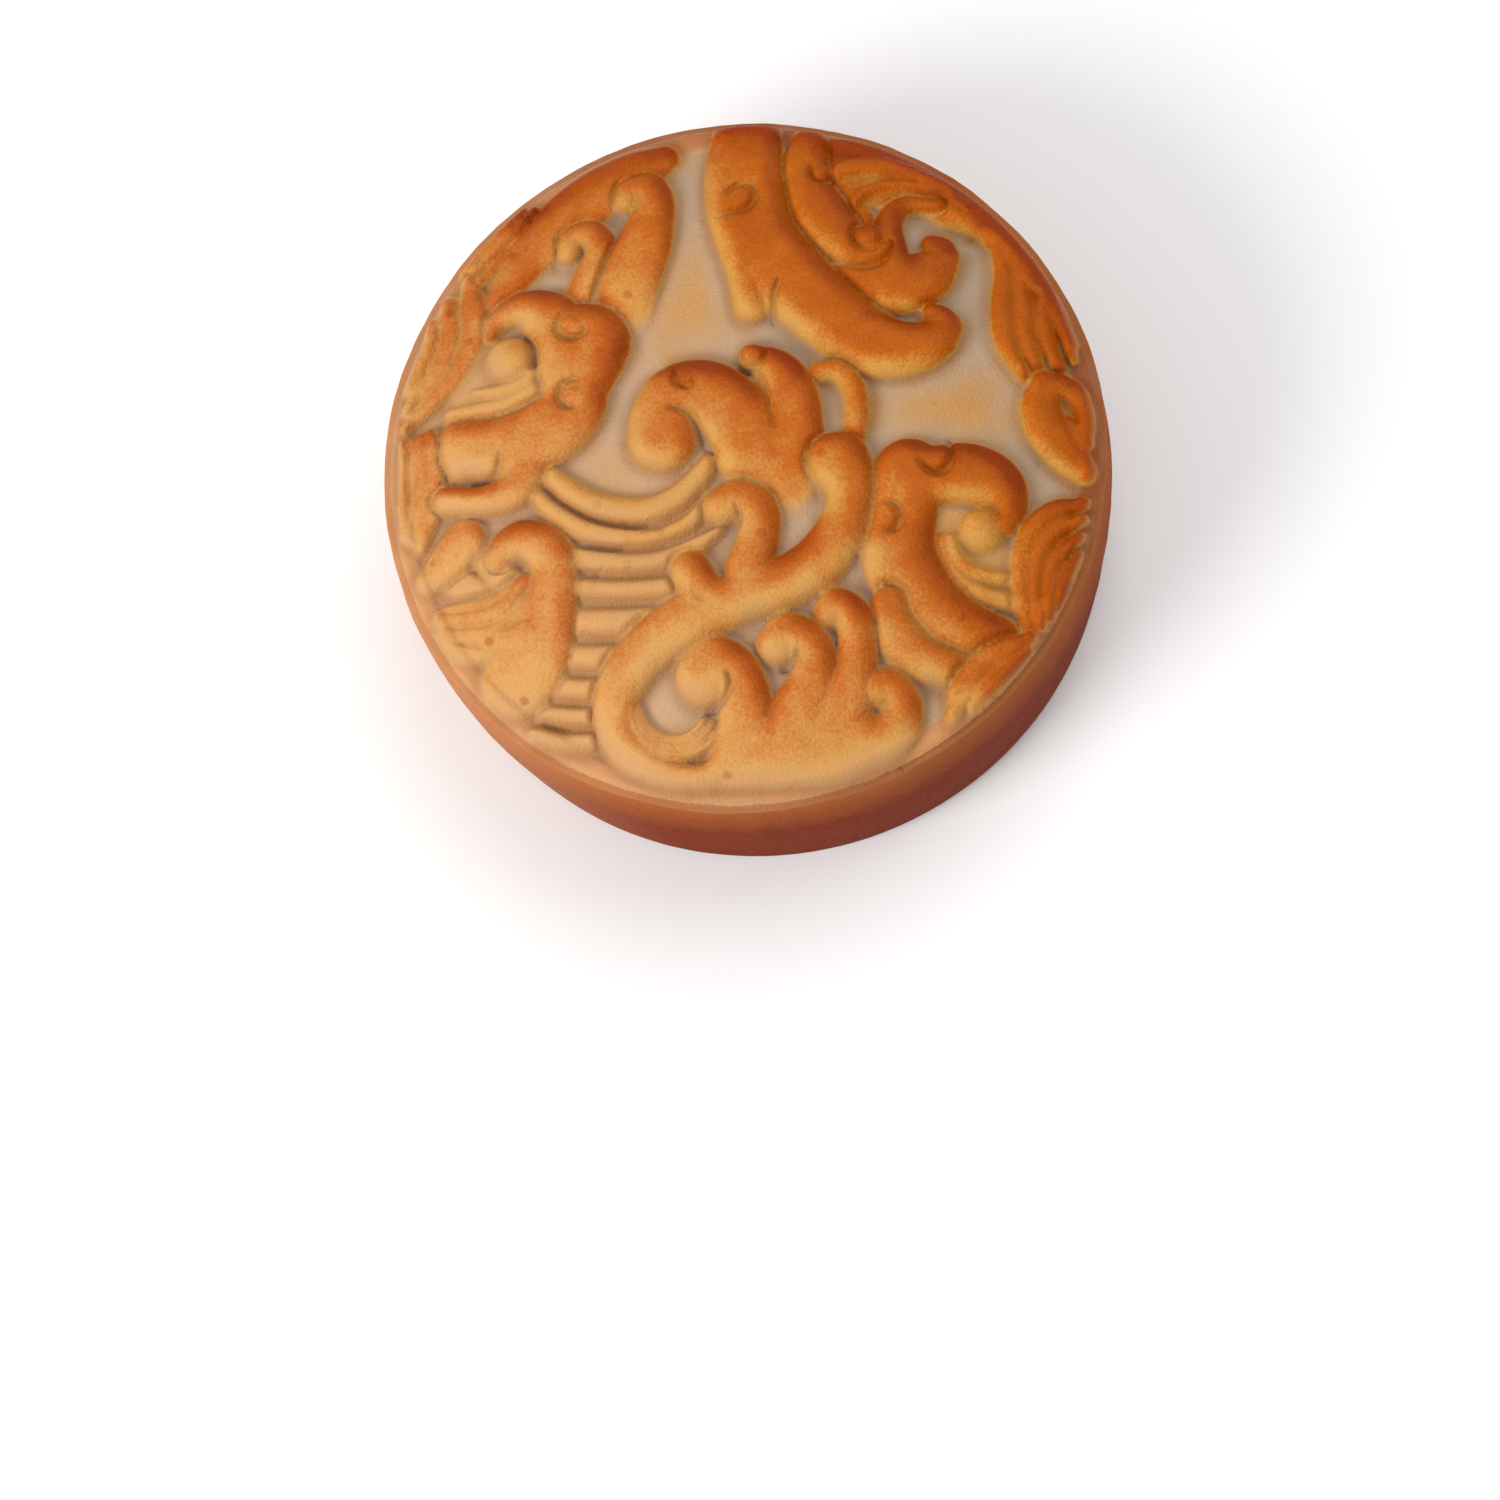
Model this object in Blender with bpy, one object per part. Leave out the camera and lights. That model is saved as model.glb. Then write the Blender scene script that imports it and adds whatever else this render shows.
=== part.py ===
"""Seaweed mooncake: one baked cake, a low drum with a rounded side, a raised ring round the
top and a moulded relief of curling waves on the domed face.

Metres, +Z up. The origin is the middle of the flat base. Seen from above with +Y up, the face
shows the wave that springs from the rim at the top, the curled waves on the left and the right,
and the long arm that sweeps round the bottom.
"""

import math

import bmesh
import bpy
import numpy as np
from mathutils import Vector

MM = 0.001

# Driving dimensions, mm
BASE_RADIUS = 35.9
WIDEST_RADIUS = 38.1
WIDEST_HEIGHT = 18.5
CORNER = 1.2
LIP_RADIUS = 37.6
LIP_HEIGHT = 24.8
LIP_SIZE = 0.5
LIP_STEP = 0.1
GROOVE_RADIUS = 36.7
RING_OUTER = 36.8
RING_INNER = 35.2
RING_HEIGHT = 26.7
RING_EDGE = 0.5
VALLEY_RADIUS = 34.8
VALLEY_DEPTH = 0.5
FACE_HEIGHT = 31.6
DOME_POWER = 3.0
RELIEF_FADE = 1.6
CREASE_REACH = 0.4
CREASE_DEPTH = 0.6
OVERLAP_SLOPE = 2.5
EDGE_POWER = 0.55

# How far the face sits right of and behind the middle of the base, and over what height, mm
LEAN_X = 0.4
LEAN_Y = -0.95
LEAN_DEPTH = 4.7

# Modelling, mm, degrees and counts; OUTSIDE stands for a depth far from every stroke
OUTSIDE = 1000.0
FACE_SEGMENTS = 220
SPINE_STEPS = 4
ARC_STEP = 18
BASE_TOLERANCE = 0.02
SOFTENING = 2
SOFTENING_SHARE = 0.5
SIDE_RINGS = 12
LIP_ANGLES = (60, 20, -20, -60)
CORNER_ANGLES = (30, 60, 90)
TRIANGLES = 11400
SHARP_ANGLE = 50


# Strokes: each is a list of (x, y, half width, share of the height) along its middle line, mm

def spine(*points):
    """A smooth line through a few points, each (x, y, half width) or with a height share."""
    knots = np.array([tuple(p) + (1.0,) * (4 - len(p)) for p in points])
    if len(knots) == 2:
        return knots
    ends = np.vstack([2 * knots[0] - knots[1], knots, 2 * knots[-1] - knots[-2]])
    step = np.linspace(0, 1, SPINE_STEPS, endpoint=False)[:, None]
    line = []
    for a, b, c, d in zip(ends, ends[1:], ends[2:], ends[3:]):
        bend = 2 * a - 5 * b + 4 * c - d
        line.append(0.5 * (2 * b + (c - a) * step + bend * step ** 2
                           + (3 * b - a - 3 * c + d) * step ** 3))
    return np.vstack(line + [knots[-1:]])


def arc(x, y, radius, start, end, width, tip):
    """A round stretch from one angle to another in degrees, widest in the middle."""
    share = np.linspace(0, 1, max(4, round(abs(end - start) / ARC_STEP)))
    angle = np.radians(start + (end - start) * share)
    half = tip + (width - tip) * np.sin(math.pi * share)
    return np.column_stack([x + radius * np.cos(angle), y + radius * np.sin(angle),
                            half, np.ones_like(share)])


def ball(x, y, radius):
    """A round boss."""
    return np.array([(x, y, radius, 1.0), (x + 0.1, y, radius, 1.0)])


def nest(first, last, count):
    """Strokes side by side, from the first one to the last."""
    first, last = spine(*first), spine(*last)
    return [first + (last - first) * share for share in np.linspace(0, 1, count)]


# Forms of the relief, the lowest first: name, how it meets what lies below it, height and
# width of its rounded edge in mm, and its strokes.
# "rise" joins at the greater height, "over" lies on top with a crease, "cut" is pressed in.

def relief_forms():
    return [
        ("upper left back wave", "rise", 1.5, 2.2, [
            spine((-9, 33, 1.8), (-12.5, 31, 3.1), (-16.5, 28.4, 3.4), (-20.2, 25, 3.3),
                  (-22.9, 21.4, 2.7), (-25.7, 17.3, 1.9))]),
        ("upper left rim leaf", "rise", 1.9, 0.9, nest(
            [(-21.3, 27.4, 0.5), (-23.2, 24.5, 0.7), (-25.8, 21.4, 0.7), (-28.5, 18.8, 0.5)],
            [(-23.6, 27.6, 0.5), (-25.7, 25.1, 0.7), (-28, 22.6, 0.7), (-30, 20.4, 0.5)],
            3)),
        ("left leaf bed", "rise", 0.9, 1.0, [
            spine((-31, 17.2, 1.2), (-30.8, 13, 2.8), (-32.4, 8.4, 2.2), (-34.6, 4.8, 0.9))]),
        ("left rim leaf", "rise", 1.6, 1.0, [
            spine((-29.3, 19.4, 0.8), (-28.5, 16.4, 1.6), (-28.2, 12.8, 1.5),
                  (-29.5, 9.5, 1.3), (-32.2, 6.3, 1.1), (-35.3, 3.4, 0.5)),
            spine((-31.3, 17.1, 0.9), (-30.9, 14, 1.3), (-31.4, 11, 1.3), (-33.1, 8, 1.2),
                  (-35.2, 5.2, 0.7)),
            spine((-33, 14.9, 0.8), (-32.9, 12.5, 1.1), (-33.9, 10, 1.1), (-35.1, 7.6, 0.8))]),
        ("left streak bed", "rise", 0.9, 1.0, [
            spine((-33.6, 1.4, 1.3), (-33.3, -3.2, 2.3), (-33.8, -7.8, 1.2))]),
        ("left rim streaks", "rise", 1.5, 0.8, nest(
            [(-32.4, 2.6, 0.7), (-31.7, -0.4, 0.9), (-31.4, -3.2, 0.9), (-31.7, -6.4, 0.9),
             (-33, -9.8, 0.6)],
            [(-35.4, 1.8, 0.5), (-35, -0.9, 0.8), (-34.9, -3.5, 0.8), (-34.9, -6.1, 0.8),
             (-34.8, -8.6, 0.5)], 4)),
        ("basin ripple", "rise", 1.6, 1.7, [
            spine((-20.2, -1.9, 0.8), (-18.4, -4.2, 1.4), (-14.2, -6.8, 1.6),
                  (-9, -7.5, 1.7), (-5.8, -6.1, 1.6), (-3.6, -3.7, 1.3), (-2.3, -1.4, 0.7))]),
        ("outer ripple", "rise", 1.5, 1.4, [
            spine((-21.3, -4.2, 0.6), (-19, -7, 1.1), (-14.5, -9.6, 1.3), (-9, -10.4, 1.2),
                  (-5, -9, 1.1), (-3.2, -7, 0.7))]),
        ("level ripples", "rise", 1.6, 1.9, [
            spine((-16.6, -11.9, 1), (-12.5, -12.9, 1.5), (-8, -12.8, 1.5), (-4.2, -11.4, 1.2),
                  (-1.6, -9.8, 0.6)),
            spine((-15.2, -15.3, 1.1), (-10.8, -15.6, 1.4), (-6.2, -15.4, 1.4),
                  (-2.6, -14.5, 1)),
            spine((-16.1, -18.7, 1.5), (-12.4, -18.9, 1.8), (-7.5, -18.7, 1.9)),
            spine((-16.5, -22.1, 1.4), (-13.5, -22.4, 1.6), (-10.6, -22.3, 1.7)),
            spine((-17.8, -25.1, 1.3), (-14.5, -25.5, 1.5), (-11.6, -25.4, 1.5)),
            spine((-19.6, -27.5, 1), (-16.4, -28, 1.3), (-13.2, -28, 1.3)),
            spine((-20.6, -29.5, 0.7), (-17.8, -30.2, 1), (-14.8, -30.4, 1.1))]),
        ("ripple creases", "cut", 0.8, 0.4, [
            spine((-20.4, -3.3, 0.2), (-18.6, -5.7, 0.4), (-14.3, -8.3, 0.45), (-9, -9.1, 0.45),
                  (-5.4, -7.7, 0.4), (-3.3, -5.5, 0.2)),
            spine((-18.5, -9, 0.2), (-16.6, -10.5, 0.4), (-12.5, -11.4, 0.45),
                  (-8.5, -11.5, 0.45), (-4.6, -10.2, 0.4), (-2.6, -8.6, 0.2)),
            spine((-16.5, -13.6, 0.4), (-12, -14.3, 0.45), (-7, -14.1, 0.45), (-3, -12.8, 0.3)),
            spine((-16.5, -16.7, 0.4), (-11.5, -17.1, 0.45), (-6, -17, 0.4)),
            spine((-17, -20.3, 0.4), (-13, -20.7, 0.45), (-9, -20.6, 0.4)),
            spine((-18, -23.5, 0.4), (-15, -24, 0.45), (-12, -23.9, 0.4)),
            spine((-19.3, -26.2, 0.4), (-16, -26.8, 0.45), (-13, -26.8, 0.4)),
            spine((-20.3, -28.4, 0.3), (-17.2, -29.2, 0.4), (-13.5, -29.3, 0.4))]),
        ("low left balls", "rise", 1.6, 1.6, [
            spine((-29.2, -13.5, 1.7), (-26.7, -15.1, 1.8)),
            spine((-25.7, -11.8, 1.5), (-23.6, -14, 1.7))]),
        ("low left back curl", "over", 1.7, 1.7, [
            spine((-28.2, -9.4, 2.5), (-30, -11.4, 2.4), (-31.9, -13.2, 1.6))]),
        ("low left wave", "over", 2.0, 2.1, [
            spine((-24.4, -11.8, 1.5), (-23.6, -10.6, 2), (-21.7, -9.9, 2.3),
                  (-19.2, -11.3, 2.6), (-18.5, -14.5, 2.6), (-19.4, -18.5, 3.3),
                  (-21, -21.8, 4.4, 0.85), (-22.2, -23.8, 4.2, 0.7)),
            spine((-22.8, -16.4, 2.2, 0.8), (-26, -19, 3, 0.7), (-28.6, -19.2, 2.8, 0.5)),
            spine((-21.8, -14.5, 1.2, 0.8), (-24.5, -16.5, 1.6, 0.7), (-30, -17.2, 1.6, 0.5))]),
        ("upper left curl", "over", 1.9, 1.5, [
            spine((-18.5, 21.6, 1.3), (-18.2, 23.6, 1.5), (-16.2, 23.9, 1.8),
                  (-14.8, 21.8, 1.9), (-15.4, 19.3, 2.2, 0.9), (-16.4, 16.6, 2.4, 0.5))]),
        ("upper left front curl", "over", 2.0, 1.8, [
            spine((-12.7, 27.6, 1.4), (-12.4, 29.2, 1.6), (-10.6, 29.3, 2.1),
                  (-9.6, 26.8, 2.3), (-10.4, 22.3, 3.1), (-11.6, 18, 3.4, 0.8),
                  (-12.4, 14.4, 3.5, 0.2))]),
        ("left eye bed", "rise", 0.6, 1.8, [
            spine((-27.6, 12.5, 2), (-27, 8, 3.5), (-27.5, 4, 3.5))]),
        ("left eye", "rise", 2.4, 2.6, [ball(-24.2, 9.8, 2.7)]),
        ("left ledges", "rise", 1.4, 1.2, [
            spine((-27.6, 6.4, 0.6), (-25, 6.3, 1), (-22.5, 7.1, 1), (-20.8, 8.7, 0.8)),
            spine((-30.2, 4.3, 1), (-27.3, 4.4, 1.2), (-24.3, 4.8, 1.2), (-21.3, 6.2, 1.1))]),
        ("left wave", "over", 2.1, 2.1, [
            spine((-26.2, 12.6, 0.7), (-25.5, 14.5, 1.5), (-22.8, 15.6, 2.2),
                  (-19.8, 13.9, 3.2), (-18.4, 10.5, 3.2)),
            spine((-16.3, 10.5, 5.2), (-16.8, 6.2, 3.8), (-17.4, 3.4, 3.8), (-20, 1.3, 3.9),
                  (-24.5, 0.2, 3.5), (-28.2, 0.3, 3.3)),
            spine((-29.7, 2, 1.7), (-28.8, -1.2, 2)),
            spine((-22, 0, 2.4), (-21.7, -2.5, 2.3), (-23.2, -4.6, 2.2), (-26.5, -5.4, 1.8),
                  (-30.3, -5, 1.7))]),
        ("right rim leaf", "rise", 1.7, 1.0, [
            spine((26, 22.4, 0.8), (26.9, 19, 1.2), (26.7, 15.1, 1.3), (27.1, 11.3, 1.3),
                  (28.9, 7.6, 0.8)),
            spine((28.3, 19.8, 0.7), (28.9, 15.5, 1.2), (29.2, 11.6, 1.2), (30.5, 8.2, 0.8)),
            spine((30.6, 17.3, 0.7), (31, 13.7, 1.2), (31.6, 10.8, 1.1), (32.6, 8.8, 0.7)),
            spine((32.2, 15.6, 0.4), (33, 12.8, 0.8), (34.1, 9.8, 0.5))]),
        ("right shell", "over", 1.7, 1.4, [
            spine((31.3, 6.6, 1.9), (30.7, 4, 2.2), (31.6, 1.4, 2.4), (33.4, -0.8, 2.2),
                  (35, -2.3, 1.5)),
            spine((32.6, 7, 1.5), (34, 6, 1.5), (34.6, 3.6, 1.6), (34.8, 1, 1.4))]),
        ("upper right rim", "rise", 1.2, 1.2, [
            spine((6.5, 34, 1.4), (12.2, 32.9, 2.2), (17.2, 30.8, 2.4), (21.1, 28.3, 2.4),
                  (24.3, 25.6, 2.2), (27.8, 21.7, 1.8), (31.1, 17, 1.4),
                  (33.8, 11.5, 0.8))]),
        ("crest bed", "rise", 1.0, 1.2, [
            spine((8.8, 30.5, 3), (13.2, 29.5, 3), (18.5, 28, 2.6), (23.5, 25, 1.8)),
            spine((9, 28, 3), (11.6, 24.6, 2.2))]),
        ("crest bands", "rise", 1.9, 0.9, [
            spine((10.8, 24.2, 0.7), (11.5, 26.9, 0.9), (13.4, 28.6, 0.9), (16.3, 29.3, 0.9),
                  (19.8, 28.7, 0.8), (23, 26.9, 0.5)),
            spine((8.7, 29.4, 0.9), (10.2, 31, 1.3), (12.7, 31.7, 1.3), (16, 31, 1.1),
                  (19.2, 29.9, 0.7), (22, 28.5, 0.4))]),
        ("crest arc", "rise", 1.8, 1.2, [
            spine((15.1, 21.5, 0.9), (14.6, 24.6, 1.3), (16.3, 26.9, 1.4), (19.8, 26.9, 1.4),
                  (23.3, 25.1, 1.3), (26.7, 22.1, 1), (30.4, 17, 0.5))]),
        ("second crest", "over", 2.0, 1.9, [
            spine((8.9, 19.6, 1.2), (12, 17.6, 2.5), (15.5, 16.9, 3.4), (18.5, 18, 3.2),
                  (20.6, 20.2, 1.8), (20.6, 21.7, 1.4), (19.5, 22.1, 1.3)),
            spine((15.6, 19.2, 2), (15.2, 22, 1.7), (15, 24.6, 1.5, 0.95),
                  (16.5, 26.7, 1.3, 0.9), (19.8, 26.9, 1.1, 0.9))]),
        ("first crest", "over", 2.0, 1.9, [
            spine((6.3, 34.2, 2.2), (5.9, 31.1, 2.8), (6.4, 28.1, 3), (8.1, 25, 3.2),
                  (10.2, 22.2, 2.8), (12.3, 20.5, 1.8), (14, 20.5, 1.2), (14.9, 21.4, 0.7))]),
        ("long wave", "over", 2.2, 2.3, [
            spine((-0.2, 35, 3.8), (-0.4, 31.5, 4.2), (0.1, 27, 4.4), (1.4, 22.5, 4.4),
                  (3.8, 19, 4.4), (7.1, 15.4, 4.3), (11.4, 11.8, 3.9), (15.6, 9.8, 3.5),
                  (19.3, 10.5, 2.7), (21.2, 12.4, 1.6), (20.7, 13.6, 1.3), (19.7, 13.9, 1.2)),
            spine((0.6, 21.5, 3.4), (0.6, 18.3, 2.3), (1.2, 14.6, 2.1))]),
        ("right eye bed", "rise", 0.6, 1.8, [
            spine((23.5, -8, 4), (24, -12, 4), (27, -14, 3))]),
        ("right pocket steps", "rise", 1.6, 0.9, nest(
            [(20.4, -10.6, 1), (21.2, -13, 1.1), (22.8, -14.8, 1.1), (25, -15.9, 1.1),
             (27.6, -16.3, 1)],
            [(21.8, -10.4, 0.8), (22.4, -12.2, 0.9), (23.6, -13.4, 0.9), (25.4, -14, 0.9),
             (27.6, -14.2, 0.8)], 2)),
        ("right wave", "over", 2.1, 2.2, [
            spine((17.6, -3.6, 3.8), (17.1, -7, 3.6), (16.5, -10.5, 3.8), (16.9, -13.3, 4),
                  (19.3, -16.6, 3.5), (22.4, -19, 3.1), (26.2, -20, 2.5)),
            spine((20.8, -3.7, 3.3), (23.7, -3.5, 3.4), (26.2, -4.4, 3), (27.7, -6.4, 1.8),
                  (27.3, -8.6, 1.2))]),
        ("right eye", "rise", 2.5, 2.4, [ball(24.7, -9.4, 2.4)]),
        ("right lip", "over", 2.0, 1.7, [
            spine((15.7, -17.3, 2.1), (15.7, -18.8, 2.4), (17, -21, 2.5), (19.3, -22.6, 2.3),
                  (22.6, -23.5, 1.9))]),
        ("right shell fan", "over", 1.7, 1.0, nest(
            [(35, -5.6, 0.8), (32.4, -6.5, 1.2), (30.3, -8.4, 1.3), (29.1, -10.9, 1.3),
             (28.7, -13.7, 1.2), (29, -16.8, 1.1), (29.8, -19.6, 0.7)],
            [(34.7, -11, 0.4), (34.1, -11.9, 0.6), (33.6, -12.8, 0.7), (33.3, -13.6, 0.8),
             (33, -14.6, 0.8), (32.8, -15.6, 0.7), (32.7, -16.7, 0.5)], 4)),
        ("low right leaf", "over", 1.7, 1.1, [
            spine((21.8, -27.8, 0.9), (22.8, -25.4, 1.4), (24.5, -23.3, 1.5),
                  (26.9, -21.3, 1.4), (29.6, -19.9, 0.8)),
            spine((23.9, -27.2, 0.6), (25.5, -25.3, 1), (27.5, -23.3, 1), (29.7, -21.5, 0.7)),
            spine((25.9, -26.5, 0.5), (27.5, -24.9, 0.7), (29.5, -22.9, 0.6))]),
        ("centre finger", "over", 1.7, 1.2, [
            spine((8, 7.1, 1.2), (9.9, 7.4, 1.3), (11.6, 5.8, 1.4), (12.2, 3.1, 1.4),
                  (11.9, 0.2, 1.3))]),
        ("centre lobes", "over", 2.1, 2.2, [
            spine((1.6, 9, 1.3), (3.8, 7.3, 2.5), (5.2, 4.6, 3.2), (5.4, 1, 3.6, 0.95),
                  (5.4, -2.4, 3.9, 0.7), (5, -6, 3, 0.1)),
            spine((-7.6, 0.4, 3.8), (-7.6, 2.7, 3.6), (-6, 4.6, 3.8), (-3.2, 4.7, 4),
                  (-0.4, 2.4, 4.1), (1.6, -1.2, 4, 0.9), (3, -5, 3.2, 0.2))]),
        ("great arm and low waves", "over", 2.2, 2.1, [
            spine((10.4, -2.6, 3.4), (11.3, -4.6, 2.8), (11.5, -6.7, 2.5), (10.8, -9.6, 2.7),
                  (8.4, -13.1, 2.9), (4.7, -15.3, 2.8), (0.2, -16.8, 2.8), (-4.3, -18.8, 3.1),
                  (-8.6, -21.5, 2.8), (-11.5, -25.2, 2.6), (-12.1, -28.5, 2.4),
                  (-10.9, -31.2, 2.1), (-8.2, -33.2, 1.6), (-5, -34.1, 1.3),
                  (-2, -34, 1.4)),
            spine((-1.4, -7.2, 2.1), (0.2, -6.3, 2.2), (2.1, -7.6, 2.4), (2.4, -10.4, 2.3),
                  (1.4, -13.6, 2.5)),
            spine((-4.4, -13.9, 2.3), (-3.3, -16, 2.4)),
            spine((-3, -24.5, 3.1), (-1.4, -23.4, 3), (0.6, -25, 2.8), (1.2, -28.2, 2.9),
                  (1, -31.4, 3)),
            spine((4.5, -21.3, 2.3), (5.6, -20.4, 2.4), (7.6, -21.6, 2.5), (8.1, -24.6, 2.5),
                  (6.8, -28.2, 3.4)),
            spine((9.7, -18, 1.8), (10.6, -17.4, 1.9), (12.1, -18.7, 2.1), (12.5, -21.6, 2.1),
                  (12, -25, 2.4), (10.8, -28.4, 3.2)),
            spine((14.7, -25.7, 1.8), (15.6, -25.2, 1.9), (16.9, -26.6, 2), (16.7, -28.7, 2.2),
                  (15.2, -30.2, 2.5), (13, -30.7, 2.9), (9.8, -31, 3.8), (5.8, -31.4, 3.8),
                  (1.6, -32.1, 3.3), (-1.5, -33.6, 1.8))]),
        *[("low pocket rim", "rise", 1.0 + 0.4 * i, 0.6, [
            arc(0.3 * i - 6.1, -27 - 0.1 * i, 3.5 + 0.75 * i, 190, 330, 0.55, 0.45)])
          for i in range(3)],
        ("small balls", "rise", 2.4, 1.0, [
            ball(1.3, 8.9, 1.3), ball(-5.3, 6.6, 0.9), ball(8, 30.4, 1), ball(13.1, 22.6, 1.5),
            ball(-17.3, 12.9, 1.3), ball(-16.9, 5.1, 1.2)]),
        ("creases", "cut", 0.9, 0.4, [
            spine((-6.8, 3.3, 0.3), (-4.9, 2.5, 0.5), (-3.7, 0.5, 0.5), (-2.3, -1.6, 0.3)),
            spine((-1.7, 27.6, 0.2), (-0.5, 28.7, 0.3), (0.8, 28.2, 0.4), (1.1, 26.8, 0.5),
                  (0.4, 25.6, 0.5), (-1.1, 25.2, 0.3), (-2.9, 24.8, 0.2)),
            spine((4.2, 17, 0.2), (3.6, 15.2, 0.4), (3.5, 13, 0.3)),
            spine((21.4, -0.2, 0.3), (21.9, -1.6, 0.4), (21.5, -3.1, 0.5), (20.5, -3.8, 0.5),
                  (19.4, -3.4, 0.4), (18.6, -2.5, 0.2)),
            arc(15.2, -8.6, 1.6, 80, -80, 0.5, 0.2),
            arc(-17.3, 12.9, 1.65, 135, 340, 0.45, 0.2),
            arc(-16.9, 5.1, 1.55, 80, 280, 0.45, 0.2),
            arc(13.1, 22.6, 1.8, 130, 290, 0.35, 0.2),
            arc(8, 30.4, 1.3, 150, 330, 0.3, 0.2),
            arc(-5.3, 6.6, 1.2, 150, 330, 0.35, 0.2),
            arc(1.3, 8.9, 1.55, 220, 385, 0.35, 0.2),
            spine((-24.4, -0.7, 0.2), (-24.6, -2.3, 0.35), (-25.5, -3.3, 0.35),
                  (-27.6, -3.7, 0.3)),
            spine((-22.4, 12.2, 0.3), (-21.3, 10.6, 0.5), (-21.4, 8.8, 0.4)),
            spine((-2.7, -28, 0.2), (-1.1, -27.3, 0.35), (-0.2, -25.7, 0.35),
                  (-0.4, -24.3, 0.2)),
            spine((4.8, -23.8, 0.2), (6.2, -23.2, 0.35), (6.7, -22, 0.2)),
            spine((0.2, -9.6, 0.2), (0.6, -8.6, 0.35), (0.3, -7.4, 0.2)),
            spine((2, 6.8, 0.3), (3, 4.8, 0.4), (3.7, 2.4, 0.3), (4.2, 0.4, 0.1)),
            spine((33, 5.2, 0.3), (33.6, 4.2, 0.6), (34.3, 3, 0.3))]),
        ("shallow marks", "cut", 0.4, 0.4, [
            spine((-3.8, -16.4, 0.4), (-2.9, -17, 0.4)),
            spine((-19.8, -18.1, 0.2), (-21.9, -18.3, 0.3), (-24, -19, 0.3)),
            spine((-22.5, -13.6, 0.2), (-23.6, -15.4, 0.3), (-26, -16.6, 0.3), (-30, -16.5, 0.2)),
            spine((-21.3, -15, 0.2), (-22.8, -17.2, 0.3), (-25.6, -18.4, 0.3), (-29.5, -18.2, 0.2)),
            spine((-26, -20.6, 0.3), (-29, -19.8, 0.2))]),
    ]


def rounded(share):
    """Height of a rounded edge, from 0 at its foot to 1."""
    return (1 - (1 - np.clip(share, 0, 1)) ** 2) ** EDGE_POWER


def stroke_cover(x, y, strokes, edge):
    """How deep each point lies inside the strokes, and the share of the height it gets."""
    depth = np.full(x.shape, -OUTSIDE)
    share = np.zeros(x.shape)
    for line in strokes:
        reach = line[:, 2].max() + CREASE_REACH
        near = ((x > line[:, 0].min() - reach) & (x < line[:, 0].max() + reach)
                & (y > line[:, 1].min() - reach) & (y < line[:, 1].max() + reach))
        px, py = x[near], y[near]
        for a, b in zip(line, line[1:]):
            way = b - a
            span = way[0] ** 2 + way[1] ** 2
            t = np.clip(((px - a[0]) * way[0] + (py - a[1]) * way[1]) / span, 0, 1)
            half = a[2] + way[2] * t
            inside = half - np.hypot(px - a[0] - way[0] * t, py - a[1] - way[1] * t)
            rise = (a[3] + way[3] * t) * rounded(inside / np.minimum(edge, half))
            depth[near] = np.maximum(depth[near], inside)
            share[near] = np.maximum(share[near], rise)
    return depth, share


def relief_height(x, y):
    """Height of the moulded waves above the ground of the face."""
    height = np.zeros(x.shape)
    for _, meeting, top, edge, strokes in relief_forms():
        depth, share = stroke_cover(x, y, strokes, edge)
        if meeting == "cut":
            height = height - top * share
            continue
        below = height
        if meeting == "over":
            crease = np.clip(1 + depth / CREASE_REACH, 0, 1) ** 2
            below = height * (1 - CREASE_DEPTH * crease) - OVERLAP_SLOPE * np.maximum(depth, 0)
        height = np.maximum(top * share, below)
    return height


def face_ground(radius):
    """Height of the domed ground, the valley at its foot and the ring round it."""
    valley = RING_HEIGHT - VALLEY_DEPTH
    dome = valley + (FACE_HEIGHT - valley) * (1 - (radius / VALLEY_RADIUS) ** DOME_POWER)
    inner = rounded((radius - VALLEY_RADIUS) / (RING_INNER - VALLEY_RADIUS))
    outer = 1 - rounded((RING_OUTER - radius) / RING_EDGE)
    ring = valley + VALLEY_DEPTH * inner - RING_EDGE * outer
    return np.where(radius < VALLEY_RADIUS, dome, ring)


def face_point_heights(x, y):
    """Height of the top of the cake over each point of the face."""
    radius = np.hypot(x, y)
    fade = rounded((RING_OUTER - radius) / RELIEF_FADE)
    return face_ground(radius) + relief_height(x, y) * fade


def side_profile():
    """Radius and height down the side, from the groove under the ring to the base."""
    top = RING_HEIGHT - 2 * RING_EDGE
    profile = [(GROOVE_RADIUS, top)]
    for angle in LIP_ANGLES:
        turn = math.radians(angle)
        profile.append((LIP_RADIUS - LIP_SIZE * (1 - math.cos(turn)),
                        LIP_HEIGHT + LIP_SIZE * math.sin(turn)))
    start = LIP_HEIGHT - 2 * LIP_SIZE
    for i in range(SIDE_RINGS + 1):
        z = start + (CORNER - start) * i / SIDE_RINGS
        away = z - WIDEST_HEIGHT
        span = start - WIDEST_HEIGHT if away > 0 else WIDEST_HEIGHT - CORNER
        edge = LIP_RADIUS - LIP_STEP if away > 0 else BASE_RADIUS + CORNER
        profile.append((WIDEST_RADIUS - (WIDEST_RADIUS - edge) * (away / span) ** 2, z))
    for angle in CORNER_ANGLES:
        turn = math.radians(angle)
        profile.append((BASE_RADIUS + CORNER * math.cos(turn), CORNER * (1 - math.sin(turn))))
    return profile


def disc_point(u, v):
    """Place of a square grid's point on a disc of radius 1, with even steps round its edge."""
    if u == 0 and v == 0:
        return 0.0, 0.0
    if abs(u) > abs(v):
        radius, angle = u, math.pi / 4 * v / u
    else:
        radius, angle = v, math.pi / 2 - math.pi / 4 * u / v
    return radius * math.cos(angle), radius * math.sin(angle)


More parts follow.
